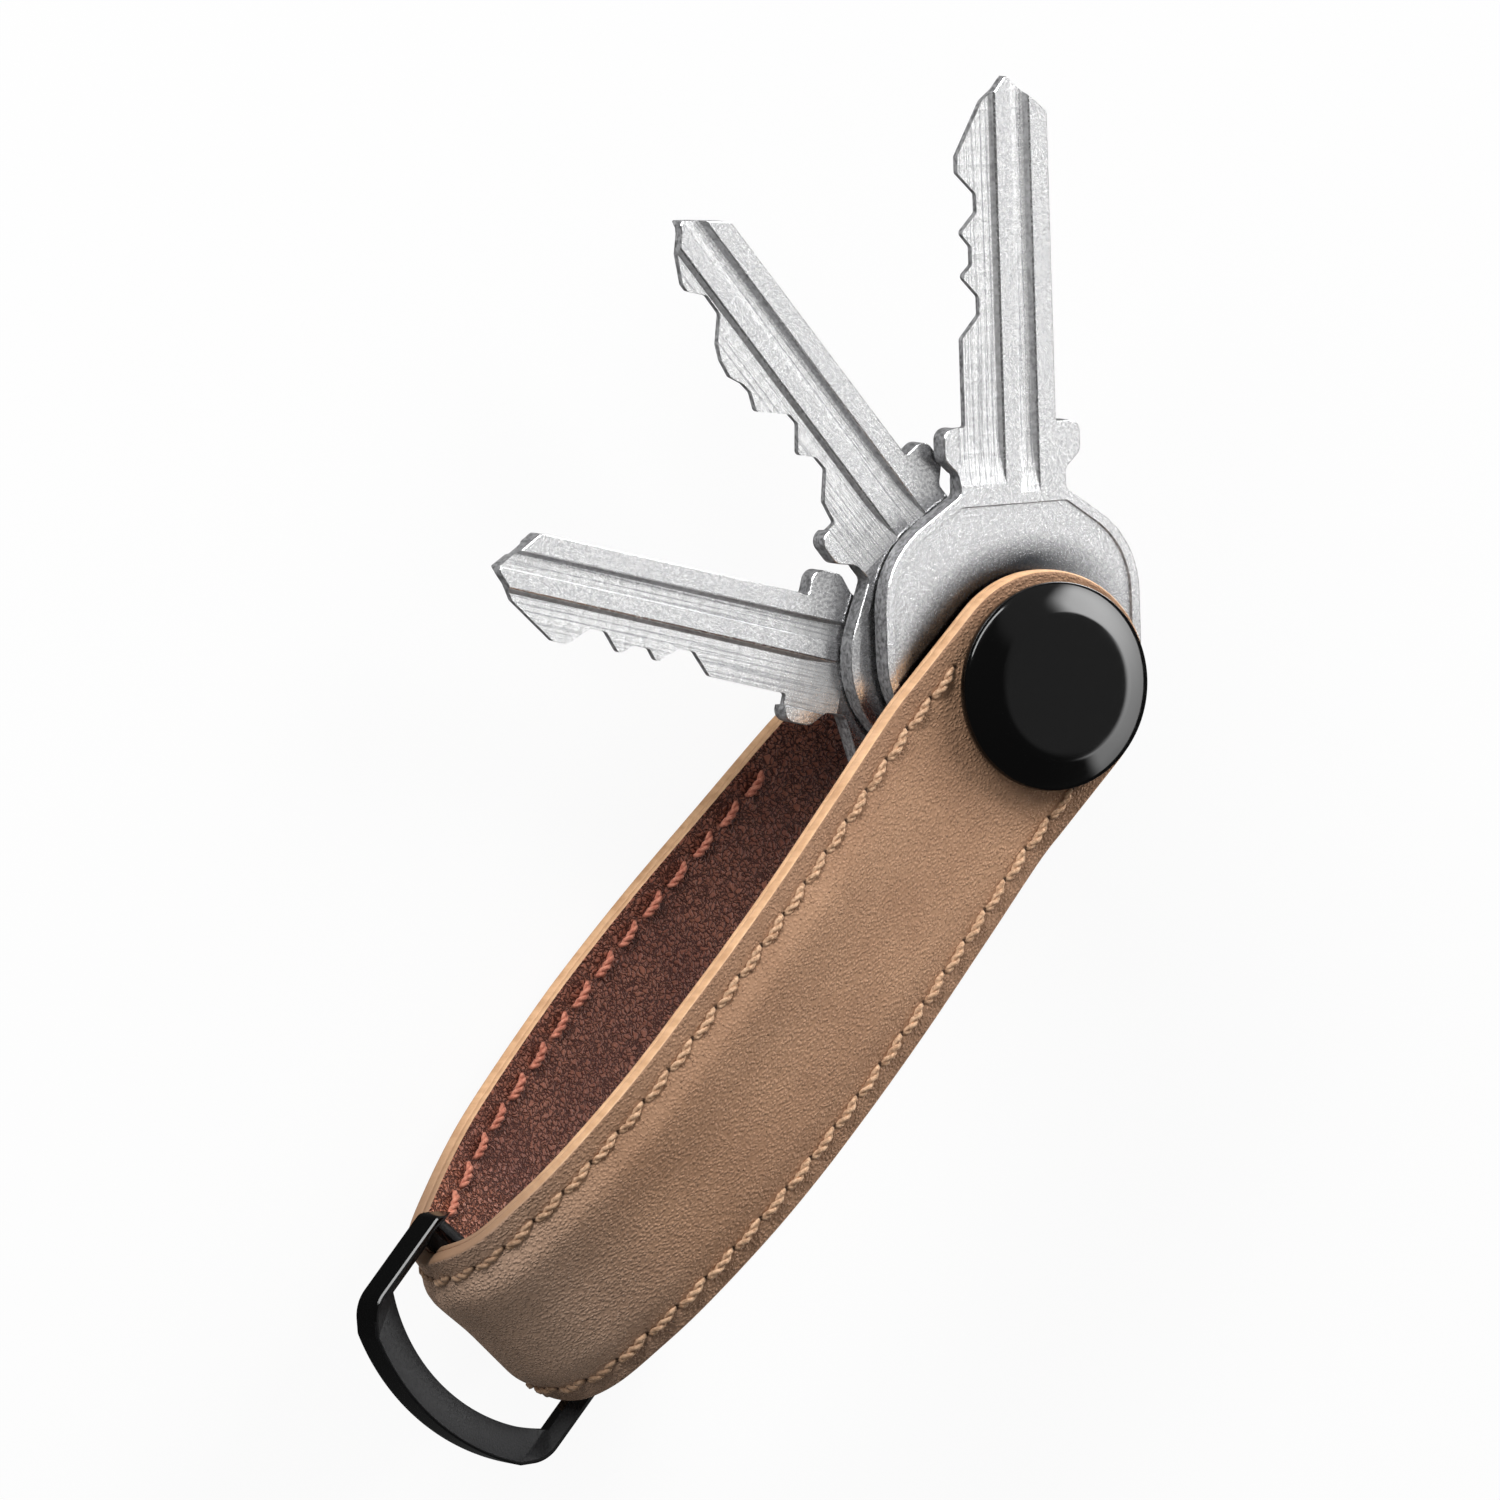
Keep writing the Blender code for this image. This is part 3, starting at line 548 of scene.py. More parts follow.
def halfWidth(x, values=strap):
    length, inset = take(values, "cornerLength cornerInset")
    share = np.clip(-x / strapReach, 0.0, 1.0)
    widths = take(values, "headHalf middleHalf foldHalf")
    half = np.interp(share, (0.0, values["middleShare"], 1.0), widths)
    past = np.clip((-x - (strapReach - length)) / length, 0.0, 1.0)
    return half - inset * (1 - np.sqrt(1 - past ** 2))


def strapRelief(station, inset, half, x, side, values=strap):
    # How far the face stands out: crown between the seams, seam grooves, margins that fall away.
    # The second value is how far both layers are drawn in at the fold.
    seam, crownRise = take(values, "seamInset crownRise")
    grown = smoothStep(values["crownStart"], values["crownFull"], -x)
    rise = smoothStep(0.0, crownRise, inset - seam)
    dip = values["crownDip"] * smoothStep(crownRise * 0.8, half - seam, inset - seam)
    crown = rise - dip if side > 0 else rise * (1 - values["crownDip"])
    near = np.exp(-((station - line.fold) / values["pinchLength"]) ** 2)
    crown = values["crown"] * grown * crown * (1 - values["pinchedCrown"] * near)
    holes = np.abs(((station - outsideFirst) / stitch["pitch"]) % 1.0 - 0.5) * 2
    groove = values["grooveDepth"] * np.exp(-((inset - seam) / values["grooveWidth"]) ** 2)
    groove = groove * (0.5 + 0.7 * holes ** 3) * smoothStep(3.0, 5.0, -x)
    margin = values["marginDrop"] * (1 - smoothStep(0.1, seam, inset)) * (0.35 + 0.65 * grown)
    pinch = values["pinch"] * near * (1 - smoothStep(1.1, 3.6, inset)) * (1.0 if side > 0 else 0.4)
    return crown - groove - margin, pinch


outsideFirst = line.stationAt(stitch["outsideStart"])
outsideLast = line.stationAt(stitch["outsideStart"], front=False)
liningFirst = line.stationAt(stitch["liningStart"])
liningLast = line.stationAt(stitch["liningStart"], front=False)


def strapShell(name, rows, values=strap):
    # One layer of leather as rings round the whole strap, from the middle of its outer face over
    # the edge to the middle of its inner face
    count = int(round(line.total / values["station"]))
    stations = np.linspace(0.0, line.total, count + 1)
    places, normals = line.at(stations)
    halves = halfWidth(places[:, 0])
    arc = np.linspace(-pi / 2, pi / 2, values["arcSteps"] + 1)
    inner = slice(1, count)
    grid, marks = [], []
    for amount, isShare, depth, weight in rows:
        if isShare:
            insets = halves - (halves - values["seamInset"] - values["seamMargin"]) * amount
        else:
            insets = np.full(count + 1, amount)
        sides = halves - insets
        edges = []
        for side in (1.0, -1.0):
            relief, pinch = strapRelief(stations, insets, halves, places[:, 0], side)
            faces = places - normals * (depth - relief * weight + pinch)[:, None]
            faces[:, 1] = np.maximum(faces[:, 1], values["tableGap"])
            edges.append(np.stack([faces[:, 0], side * sides, faces[:, 1]], axis=1))
        left, right = edges
        headRelief = strapRelief(np.zeros(1), insets[:1], halves[:1], np.zeros(1), 1.0)[0][0]
        sink = depth - headRelief * weight
        x, y, inset = sides[0] * np.cos(arc), sides[0] * np.sin(arc), np.full(len(arc), insets[0])
        frontArc = np.stack([x, y, np.full(len(arc), frontOuter - sink)], axis=1)
        rearArc = np.stack([x, y, np.full(len(arc), rearOuter + sink)], axis=1)[::-1]
        grid.append(np.concatenate([frontArc, left[inner], rearArc, right[inner][::-1]]))
        leftMark = np.stack([stations, sides, insets], axis=1)
        rightMark = leftMark * np.array([1.0, -1.0, 1.0])
        frontMark = np.stack([-x, y, inset], axis=1)
        rearMark = np.stack([line.total + x, y, inset], axis=1)[::-1]
        marks.append(np.concatenate([frontMark, leftMark[inner], rearMark, rightMark[inner][::-1]]))
    mesh = toMesh(name, gridShape(np.array(grid), marks=np.array(marks).tolist()))
    hole = plateMesh("postHole", [circleOutline(values["holeRadius"], 64)], -2.0, frontOuter + 4.0)
    return carve(mesh, [hole])


def shellRows(amounts, isShare, depth, weight=0.0):
    # A row of a shell is a share of the width or an inset, which of them, its depth and how much
    # of the relief it takes
    return [(amount, isShare, depth, weight) for amount in amounts]


def edgeArc(radius, steps=5):
    # Rows round a rounded upper edge
    return [
        (radius * (1 - sin(a)), False, radius * (1 - cos(a)), 1.0 - 0.7 * sin(a))
        for a in np.linspace(0.0, pi / 2, steps)
    ]


def paintEdge(mesh, width):
    # Gives the faces nearer the strap's edge than width the second material
    marks = np.empty(len(mesh.vertices) * 3, np.float32)
    mesh.attributes["surface"].data.foreach_get("vector", marks)
    for face in mesh.polygons:
        if max(marks[3 * v + 2] for v in face.vertices) < width:
            face.material_index = 1


def makeStrap(values=strap):
    thickness = values["outerThickness"]
    shares = (0.0, 0.1, 0.2, 0.3, 0.4, 0.5, 0.6, 0.69, 0.77, 0.84, 0.9, 0.95, 1.0)
    insets = (2.15, 2.02, 1.9, 1.78, 1.65, 1.45, 1.2, 0.95, 0.7, 0.54)
    rows = shellRows(shares, True, 0.0, 1.0) + shellRows(insets, False, 0.0, 1.0)
    rows += edgeArc(values["edgeRound"])
    rows += [(-0.02, False, 0.75, 0.2), (0.0, False, thickness - 0.2, 0.0)]
    rows += [(0.05, False, thickness - 0.06, 0.0)] + shellRows((0.16, 1.2), False, thickness)
    rows += shellRows((0.9, 0.45, 0.0), True, thickness)
    mesh = strapShell("tanStrap", rows)
    leathers = [tanLeather(), edgeTone]
    finishPiece("tanStrap", mesh, leathers, ["outer_leather"], angle=60)
    paintEdge(mesh, 0.2)


def makeLining(values=strap):
    top, bottom = take(values, "liningTop liningBottom")
    shares = (0.0, 0.15, 0.3, 0.45, 0.6, 0.72, 0.82, 0.9, 0.96, 1.0)
    rows = shellRows(shares, True, bottom) + shellRows((2.15, 1.9, 1.65), False, bottom, -0.5)
    rows += shellRows((1.3, 0.8, 0.3), False, bottom)
    edge = [(0.14, bottom - 0.04), (0.06, bottom - 0.14), (0.04, bottom - 0.3), (0.05, top + 0.12)]
    rows += [(inset, False, depth, 0.0) for inset, depth in edge + [(0.12, top + 0.03)]]
    rows += shellRows((0.3, 1.5), False, top) + shellRows((0.8, 0.4, 0.0), True, top)
    mesh = strapShell("strapLining", rows)
    finishPiece("strapLining", mesh, [liningLeather(), edgeTone], ["lining"], angle=60)
    paintEdge(mesh, 0.16)


def tanLeather():
    # Waxed full-grain cowhide: a fine pebble that hardly shows, darker outside the seams, with painted
    # shade along the right margin, paler towards the fold, with a dark hole at each stitch's end
    material, tree, shader = newMaterial("waxedTanCowhide", "#a98a72", 0.58, specular=0.12)
    place = surfacePlace(tree)
    station, side, inset = place.parts()
    inputs = {"Vector": place.warped(1.4, 2.0, 0.35), "Scale": 2.9, "Randomness": 0.9}
    pebble = place.then("ShaderNodeTexVoronoi", inputs, "Distance").ramp(0.05, 0.7)
    flecks = place.noise(2.2, 4.0, 0.65)
    pores = place.noise(4.2, 2.0, 0.5).ramp(0.62, 0.74)
    foldDistance = abs(station - line.fold)
    tone = place.noise(0.11, 3.0, 0.55).ramp(0.3, 0.7).blend("#a37f65", "#b08b6f")
    tone = foldDistance.ramp(5.0, 24.0, 0.85, 0.0).blend(tone, "#b69a86")
    tone = (pebble.ramp(0.3, 1.0) * 0.2).blend(tone, "#64482f")
    tone = (pores * 0.5).blend(tone, "#50382a")
    outside = inset.ramp(1.2, 2.5, 1.0, 0.0)
    tone = (outside * 0.3).blend(tone, "#8a6b56")
    # painted shade: darker along the right margin, where the strap's edge turns away from the light
    tone = (outside * side.ramp(-3.0, -7.0, 0.0, 0.2)).blend(tone, "#5d4838")
    phase = (station - outsideFirst).math("DIVIDE", stitch["pitch"])
    far = (phase.math("PINGPONG", 0.5) * stitch["pitch"]).length(inset - strap["seamInset"])
    tone = far.ramp(0.12, 0.36, 1.0, 0.0).blend(tone, "#38271c")
    tone.to(shader, "Base Color")
    flecks.ramp(0.2, 0.8, 0.5, 0.68).to(shader, "Roughness")
    grain = (flecks * 0.6 - (pebble + pores)) * foldDistance.ramp(6.0, 26.0, 1.3, 0.7)
    grain.bump(shader, 0.00014, 0.85)
    return material


def paintedEdge():
    # Raw edge sealed with a pale dressing: lighter than the face, slightly fibrous, with painted shade
    # towards the fold
    material, tree, shader = newMaterial("dressedLeatherEdge", "#d8aa80", 0.5)
    fibres = surfacePlace(tree, (0.6, 1.0, 3.0)).noise(1.6, 4.0, 0.6)
    foldDistance = abs(surfacePlace(tree).parts()[0] - line.fold)
    tone = fibres.ramp(0.3, 0.7).blend("#c79a72", "#e0b48a")
    # painted shade: the edge darkens towards the fold
    foldDistance.ramp(6.0, 24.0, 1.0, 0.0).blend(tone, "#94745b").to(shader, "Base Color")
    fibres.bump(shader, 0.00003, 0.4)
    return material


def liningLeather():
    # Dyed lining with a tight pebbled grain: small raised cells, wider across the strap, that
    # catch the light, with dark creases between them painted as shade, and painted light towards the fold
    material, tree, shader = newMaterial("dyedPebbledLining", "#6a3a34", 0.5, specular=0.25)
    place = surfacePlace(tree, (1.35, 0.75, 1.0))
    inputs = {"Vector": place.warped(1.1, 3.0, 1.6), "Scale": 1.6}
    cells = place.then("ShaderNodeTexVoronoi", inputs, "Distance", feature="DISTANCE_TO_EDGE")
    bumps = cells.ramp(0.0, 0.26)
    fine = surfacePlace(tree).noise(3.4, 3.0, 0.6)
    foldDistance = abs(surfacePlace(tree).parts()[0] - line.fold)
    tone = place.noise(0.15, 3.0).ramp(0.3, 0.7).blend("#8b5444", "#a36854")
    # painted light: the lining grows paler towards the fold
    tone = foldDistance.ramp(6.0, 18.0, 1.0, 0.0).blend(tone, "#bb775c")
    # painted shade: the creases between the cells are darkened
    tone = bumps.ramp(0.0, 0.6).blend("#431e14", tone)
    fine.ramp(0.3, 0.55, 0.2, 0.0).blend(tone, "#4a231c").to(shader, "Base Color")
    bumps.ramp(0.0, 1.0, 0.66, 0.42).to(shader, "Roughness")
    (bumps + fine * 0.25).bump(shader, 0.00026, 0.9)
    return material


edgeTone = paintedEdge()
makeStrap()
makeLining()


print("stage: stitching")


def stitchTree():
    # Two twisted plies for each stitch point of a row, turned along the row and dipping at its ends
    tree = bpy.data.node_groups.new("twistedStitches", "GeometryNodeTree")
    sizes = ("Length", "Ply Radius", "Ply Spread", "Turns", "Rise", "Sink", "Bow", "Slant", "Jitter")
    kinds = [("Geometry", "Geometry"), ("Seed", "Int"), ("Thread", "Material")]
    for name, kind in kinds + [(size, "Float") for size in sizes]:
        tree.interface.new_socket(name, in_out="INPUT", socket_type="NodeSocket" + kind)
    tree.interface.new_socket("Geometry", in_out="OUTPUT", socket_type="NodeSocketGeometry")
    given = {socket.name: Field(socket) for socket in addNode(tree, "NodeGroupInput").outputs}
    half = given["Length"] * 0.5
    start, end = (field(tree, "ShaderNodeCombineXYZ", {0: x}) for x in (half * -1.0, half))
    axis = field(tree, "GeometryNodeCurvePrimitiveLine", {"Start": start, "End": end})
    axis = field(tree, "GeometryNodeResampleCurve", {"Curve": axis, "Count": 12})
    along = field(tree, "GeometryNodeSplineParameter", output="Factor")
    side = along * 2.0 - 1.0
    square = side * side
    arch = 1.0 - square
    lift = (1.0 - square * square) * (given["Rise"] + given["Sink"]) - given["Sink"]
    spread = (arch * 0.5 + 0.5) * given["Ply Spread"]
    sway = arch * given["Bow"] + side * given["Slant"]
    ring = field(tree, "GeometryNodeCurvePrimitiveCircle", {"Resolution": 5, "Radius": given["Ply Radius"]})
    joined = addNode(tree, "GeometryNodeJoinGeometry")
    for shift in (0.0, pi):
        angle = along * given["Turns"] * (2 * pi) + shift
        across = angle.math("COSINE") * spread + sway
        height = angle.math("SINE") * spread + lift
        offset = field(tree, "ShaderNodeCombineXYZ", {1: across, 2: height})
        ply = field(tree, "GeometryNodeSetPosition", {"Geometry": axis, "Offset": offset})
        inputs = {"Geometry": ply, "Name": "alongStitch", "Value": along}
        ply = field(tree, "GeometryNodeStoreNamedAttribute", inputs, data_type="FLOAT", domain="POINT")
        inputs = {"Curve": ply, "Profile Curve": ring, "Fill Caps": True}
        field(tree, "GeometryNodeCurveToMesh", inputs).to(joined, 0)
    forward, upward = (
        field(tree, "GeometryNodeInputNamedAttribute", {"Name": name}, data_type="FLOAT_VECTOR")
        for name in ("forward", "upward")
    )
    turn = field(tree, "FunctionNodeAlignRotationToVector", {"Vector": forward}, axis="X")
    inputs = {"Rotation": turn, "Vector": upward}
    turn = field(tree, "FunctionNodeAlignRotationToVector", inputs, axis="Z", pivot_axis="X")
    inputs = {2: 1.0 - given["Jitter"], 3: given["Jitter"] + 1.0, "Seed": given["Seed"]}
    size = field(tree, "FunctionNodeRandomValue", inputs, 1, data_type="FLOAT")
    scale = field(tree, "ShaderNodeCombineXYZ", {0: 1.0, 1: size, 2: size})
    stitches = field(tree, "GeometryNodeInstanceOnPoints", {
        "Points": given["Geometry"], "Instance": joined.outputs[0], "Rotation": turn, "Scale": scale,
    })
    real = field(tree, "GeometryNodeRealizeInstances", {0: stitches})
    painted = field(tree, "GeometryNodeSetMaterial", {"Geometry": real, "Material": given["Thread"]})
    addNode(tree, "NodeGroupOutput", {0: painted})
    return tree


def threadMaterial(name, light, dark, spot, foldShading):
    # Waxed polyester thread: soft sheen, darker towards its ends at the holes, and towards the fold
    # with painted shade on the tan thread and painted light on the salmon one
    material, tree, shader = newMaterial(name, light, 0.6, specular=0.1)
    shader.inputs["Sheen Weight"].default_value = 0.1
    far = abs(field(tree, "ShaderNodeAttribute", output="Fac", attribute_name="alongStitch") - 0.5)
    place = objectPlace(tree)
    tone = place.noise(3.0, 3.0, 0.6).ramp(0.3, 0.7).blend(dark, light)
    # painted fold tone: darker on the tan thread, paler on the salmon lining thread
    tone = place.parts()[0].ramp(-34.0, -52.0, 0.0, 0.6).blend(tone, foldShading)
    # darker towards each stitch's ends, at the holes
    far.ramp(0.36, 0.5).blend(tone, spot).to(shader, "Base Color")
    place.noise(9.0, 2.0).bump(shader, 0.00003, 0.5)
    return material


def stitchRow(name, side, first, last, lining, length, bow, seed, material, node):
    # Points in the middle of each stitch, with the directions that the tree reads
    count = int((last - first) / stitch["pitch"])
    holes = first + np.arange(count + 1) * stitch["pitch"]
    places, normals = line.at(holes)
    halves = halfWidth(places[:, 0])
    seam = np.full(len(holes), strap["seamInset"])
    relief, pinch = strapRelief(holes, seam, halves, places[:, 0], side)
    depth = pinch + (strap["liningBottom"] if lining else 0.06 - relief * 0.5)
    faces = places - normals * depth[:, None]
    points = np.stack([faces[:, 0], side * (halves - seam), faces[:, 1]], axis=1)
    middles = (points[1:] + points[:-1]) / 2
    forward = points[1:] - points[:-1]
    forward /= np.linalg.norm(forward, axis=1)[:, None]
    out = line.at((holes[1:] + holes[:-1]) / 2)[1] * (-1.0 if lining else 1.0)
    upward = np.stack([out[:, 0], np.zeros(count), out[:, 1]], axis=1)
    mesh = bpy.data.meshes.new(name)
    mesh.from_pydata(middles.tolist(), [], [])
    for key, values in (("forward", forward), ("upward", upward)):
        mesh.attributes.new(key, "FLOAT_VECTOR", "POINT").data.foreach_set("vector", values.ravel())
    item = addItem(mesh)
    step = item.modifiers.new("stitches", "NODES")
    step.node_group = twistedStitches
    chosen = {"Length": length, "Bow": bow, "Seed": seed, "Thread": material, **stitch["ply"]}
    for socket in twistedStitches.interface.items_tree:
        if socket.item_type == "SOCKET" and socket.in_out == "INPUT" and socket.name in chosen:
            step[socket.identifier] = chosen[socket.name]
    finishPiece(name, settled(item), [material], [node], angle=80)


twistedStitches = stitchTree()
tanThread = threadMaterial("waxedTanThread", "#e0ba98", "#a07c60", "#432e20", "#7c6350")
salmonThread = threadMaterial("waxedSalmonThread", "#d9927a", "#a86250", "#4a221b", "#f0a286")
for side, word in ((1, "left"), (-1, "right")):
    stitchRow(
        "outsideStitches_" + word, side, outsideFirst, outsideLast, False, stitch["outsideLength"],
        stitch["bow"], 3 + side, tanThread, "thread_outside_" + word,
    )
    stitchRow(
        "liningStitches_" + word, side, liningFirst, liningLast, True, stitch["liningLength"],
        -stitch["bow"], 8 + side, salmonThread, "thread_lining_" + word,
    )


print("stage: post, cap, lock screw and rings")


def blackLacquer():
    # Black electrophoretic lacquer on a cast cap: deep, smooth and glossy
    material, tree, shader = newMaterial("glossBlackLacquer", "#060606", 0.1, specular=0.24)
    place = objectPlace(tree)
    place.noise(0.9, 3.0).ramp(0.3, 0.7, 0.07, 0.13).to(shader, "Roughness")
    place.noise(0.5, 2.0).bump(shader, 0.00001, 0.2)
    return material


def zincSteel():
    # Zinc-plated steel: pale grey with a faint satin
    material, tree, shader = newMaterial("zincPlatedSteel", "#b4b4b8", 0.3, 1.0)
    place = objectPlace(tree)
    place.noise(1.5, 4.0).ramp(0.3, 0.7, 0.24, 0.38).to(shader, "Roughness")
    place.noise(6.0, 3.0).bump(shader, 0.00001, 0.3)
    return material


def blackNylon():
    # Turned nylon rod: matt black with fine rings
    material, tree, shader = newMaterial("turnedBlackNylon", "#1a1a1b", 0.5)
    rings = objectPlace(tree, stretch=(1.0, 1.0, 6.0)).noise(1.2, 3.0)
    rings.ramp(0.3, 0.7, 0.42, 0.58).to(shader, "Roughness")
    rings.bump(shader, 0.00002, 0.3)
    return material


lacquer, steel, nylon = blackLacquer(), zincSteel(), blackNylon()
cap = {
    "radius": 8.8, "rimRadius": 8.1, "flatRadius": 6.1, "waist": 1.3, "dome": 1.7, "flatCrown": 0.04,
    "slope": radians(22.0),   # of the shoulder where it leaves the flat top
    "recessRadius": 6.9, "recess": 1.1, "seat": 0.03,
}


def makeCap(values=cap):
    radius, rimRadius, flatRadius, recessRadius = take(values, "radius rimRadius flatRadius recessRadius")
    waist = frontOuter + values["waist"]
    top, reach = waist + values["dome"], radius - flatRadius
    knee = top - reach * tan(values["slope"])
    spans = np.linspace(0.0, flatRadius, 8)
    flat = [(r, top + values["flatCrown"] * (1 - (r / flatRadius) ** 2)) for r in spans]
    dome = [
        (
            flatRadius + reach * (2 * (1 - t) * t + t * t),
            top * (1 - t) ** 2 + knee * 2 * (1 - t) * t + waist * t * t,
        )
        for t in np.linspace(0.06, 1.0, 20)
    ]
    rim = frontOuter + values["seat"]
    drop, tuck, ceiling = waist - rim, radius - rimRadius, rim + values["recess"]
    under = [(rimRadius + tuck * cos(a), waist - drop * sin(a)) for a in np.linspace(0.15, pi / 2, 8)]
    recess = [(recessRadius + 0.1, rim), (recessRadius, rim + 0.1), (recessRadius, ceiling), (0.0, ceiling)]
    mesh = latheMesh("frontCap", flat + dome + under + recess, 160)
    finishPiece("frontCap", mesh, [lacquer], ["front_cap"])


barrel = {
    "radius": 2.4, "bore": 1.8, "boreDepth": 12.0, "flangeRadius": 6.6, "flange": 0.8, "edge": 0.2,
    "thread": {"pitch": 0.8, "depth": 0.22},
}


def makeBarrel(values=barrel):
    radius, bore, flangeRadius, flange, edge = take(values, "radius bore flangeRadius flange edge")
    low, seat = rearOuter, frontOuter + 0.02
    boreTop, top = low + values["boreDepth"], seat + flange
    profile = [
        (0.0, top), (flangeRadius - edge, top), (flangeRadius - edge * 0.3, top - edge * 0.3),
        (flangeRadius, top - edge), (flangeRadius, seat), (radius + 0.1, seat), (radius, seat - 0.1),
        (radius, low + edge), (radius - edge, low), (bore + 0.1, low), (bore, low + 0.15),
    ]
    profile += [(bore, z, 1.0) for z in np.arange(low + 0.3, boreTop - 0.1, 0.1)]
    profile += [(bore - 0.1, boreTop), (0.0, boreTop + 0.9)]
    mesh = latheMesh("postBarrel", profile, 48, values["thread"])
    finishPiece("postBarrel", mesh, [steel], ["post_barrel"])


screw = {
    "radius": 8.8, "height": 3.2, "edge": 0.9, "rim": 2.3, "shank": 1.72, "reach": 11.0,
    "washer": 0.5, "slotWidth": 2.0, "slotDepth": 1.1, "thread": {"pitch": 0.8, "depth": 0.34},
}


def makeLockScrew(values=screw):
    head, radius, edge, shank = take(values, "height radius edge shank")
    tip, floor, inner = head + values["reach"], head - values["washer"] - 0.3, radius - values["rim"]
    profile = [(0.0, tip), (shank - 0.5, tip), (shank - 0.3, tip - 0.2)]
    profile += [(shank, z, 1.0) for z in np.arange(tip - 0.4, floor + 0.4, -0.1)]
    profile += [
        (shank - 0.3, floor + 0.3), (shank - 0.3, floor), (inner, floor), (inner, head - 0.1),
        (inner + 0.1, head), (radius - 0.25, head), (radius - 0.07, head - 0.07), (radius, head - 0.25),
    ]
    middle = radius - edge
    profile += [(middle + edge * cos(a), edge - edge * sin(a)) for a in np.linspace(0.0, pi / 2, 9)]
    profile += [(r, 0.0) for r in (6.0, 3.5, 0.0)]
    mesh = latheMesh("lockScrew", profile, 96, values["thread"])
    half, reach = values["slotWidth"] / 2, radius + 2
    outline = [(-half - 0.12, -1.0), (-half - 0.12, 0.0), (-half, 0.12), (-half, values["slotDepth"])]
    outline += [(-x, z) for x, z in reversed(outline)]
    rings = [[(x, y, z) for y, z in outline] for x in (-reach, reach)]
    mesh = carve(mesh, [ringsMesh("coinSlot", rings)])
    finishPiece("lockScrew", mesh, [lacquer], ["lock_screw"], "lock_screw")


def ringProfile(inner, outer, low, high, edge):
    # A flat ring with broken edges, as a closed profile
    return [
        (inner, high - edge), (inner + edge, high), (outer - edge, high), (outer, high - edge),
        (outer, low + edge), (outer - edge, low), (inner + edge, low), (inner, low + edge),
    ]


def makeRings():
    # Each ring takes its place and its outer radius from its CAD node's box; its inner radius is given
    rings = [
        ("spacer_upper", "upperSpacer", nylon, 2.7, 0.22, "strap", "nylon"),
        ("spacer_lower", "lowerSpacer", nylon, 2.7, 0.22, "strap", "nylon"),
        ("flat_washer", "flatWasher", steel, 2.7, 0.08, "strap", "post_steel"),
        ("screw_washer", "screwWasher", nylon, 1.8, 0.08, "screw_washer", "nylon"),
    ]
    for node, name, material, inner, edge, body, slot in rings:
        low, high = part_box(node)
        outer = (high.x - low.x) / 2 * metre
        profile = ringProfile(inner, outer, low.z * metre, high.z * metre, edge)
        mesh = latheMesh(name, profile, 96, wrap=True)
        finishPiece(name, mesh, [material], [node], body)


wave = {"inner": 2.7, "sheet": 0.3, "swing": 0.25, "waves": 3, "edge": 0.05}


def makeWaveWasher(values=wave):
    low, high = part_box("wave_washer")
    outer, middle = (high.x - low.x) / 2 * metre, (low.z + high.z) / 2 * metre
    angles = np.linspace(0.0, 2 * pi, 120, endpoint=False)
    height = middle + values["swing"] * np.sin(values["waves"] * angles)
    half = values["sheet"] / 2
    ring = ringProfile(values["inner"], outer, -half, half, values["edge"])
    section = ring[-1:] + ring[:-1]
    grid = np.array([
        [(r * cos(a), r * sin(a), z + dz) for r, dz in section] for a, z in zip(angles, height)
    ])
    mesh = toMesh("waveWasher", gridShape(grid, wrapRows=True))
    finishPiece("waveWasher", mesh, [steel], ["wave_washer"])


makeCap()
makeBarrel()
makeLockScrew()
makeRings()
makeWaveWasher()


print("stage: keys")
keyBlank = {
    "thickness": 2.0, "edge": 0.08, "slack": 2.1, "holeRadius": 4.5, "headBack": 6.2, "headHalf": 12.2,
    "headOffset": 0.4, "backRound": 9.0, "sideRound": 8.4, "sideEnd": 11.3,
    "neckStart": 16.1, "neckEnd": 17.8, "neckRound": 0.7, "lugStart": 19.2, "lugRound": 1.0,
    "shoulder": 21.8, "bladeLength": 29.4, "bladeWidth": 8.5, "neckHalf": 5.05, "lugHalf": 6.5,
    "panelFront": 15.1, "panelBorder": 0.85, "panelDepth": 0.22, "panelSlope": 0.12,
    "bittingRound": 0.42,
    # where it starts, its run-out, its low and high edge, depth and the widths of the walls at both
    # edges, in mm, and the depths across its floor as shares
    "frontCuts": [
        (16.9, 4.5, 0.66, 5.3, 0.4, 0.5, 0.1, (1.0, 1.0)),
        (16.0, 5.2, -2.6, -0.74, 0.55, 0.42, 0.11, (0.96, 1.0, 1.0, 0.985, 0.95)),
    ],
    "rearCuts": [
        (17.2, 4.5, -0.85, 5.3, 0.9, 0.5, 0.1, (1.0, 1.0)),
        (16.6, 5.0, -3.4, -1.95, 0.5, 0.35, 0.11, (0.96, 1.0, 1.0, 0.985, 0.95)),
    ],
}
bitting = [
    (0.253, 0.500), (0.318, 0.297), (0.370, 0.297), (0.430, 0.483), (0.462, 0.366),
    (0.514, 0.366), (0.555, 0.483), (0.610, 0.297), (0.664, 0.297), (0.726, 0.500),
    (0.774, 0.500), (0.928, 0.203), (0.959, 0.064), (1.000, -0.058), (0.955, -0.227),
    (0.887, -0.500),
]
otherBitting = [
    (0.069, 0.460), (0.137, 0.239), (0.185, 0.245), (0.229, 0.384), (0.298, 0.187),
    (0.336, 0.198), (0.414, 0.460), (0.466, 0.384), (0.503, 0.396), (0.545, 0.460),
    (0.600, 0.430), (0.644, 0.360), (0.705, 0.150), (0.774, 0.144), (0.825, 0.280),
    (0.849, 0.280), (0.928, 0.135), (0.969, -0.010), (1.000, -0.075), (0.955, -0.260),
    (0.890, -0.500),
]
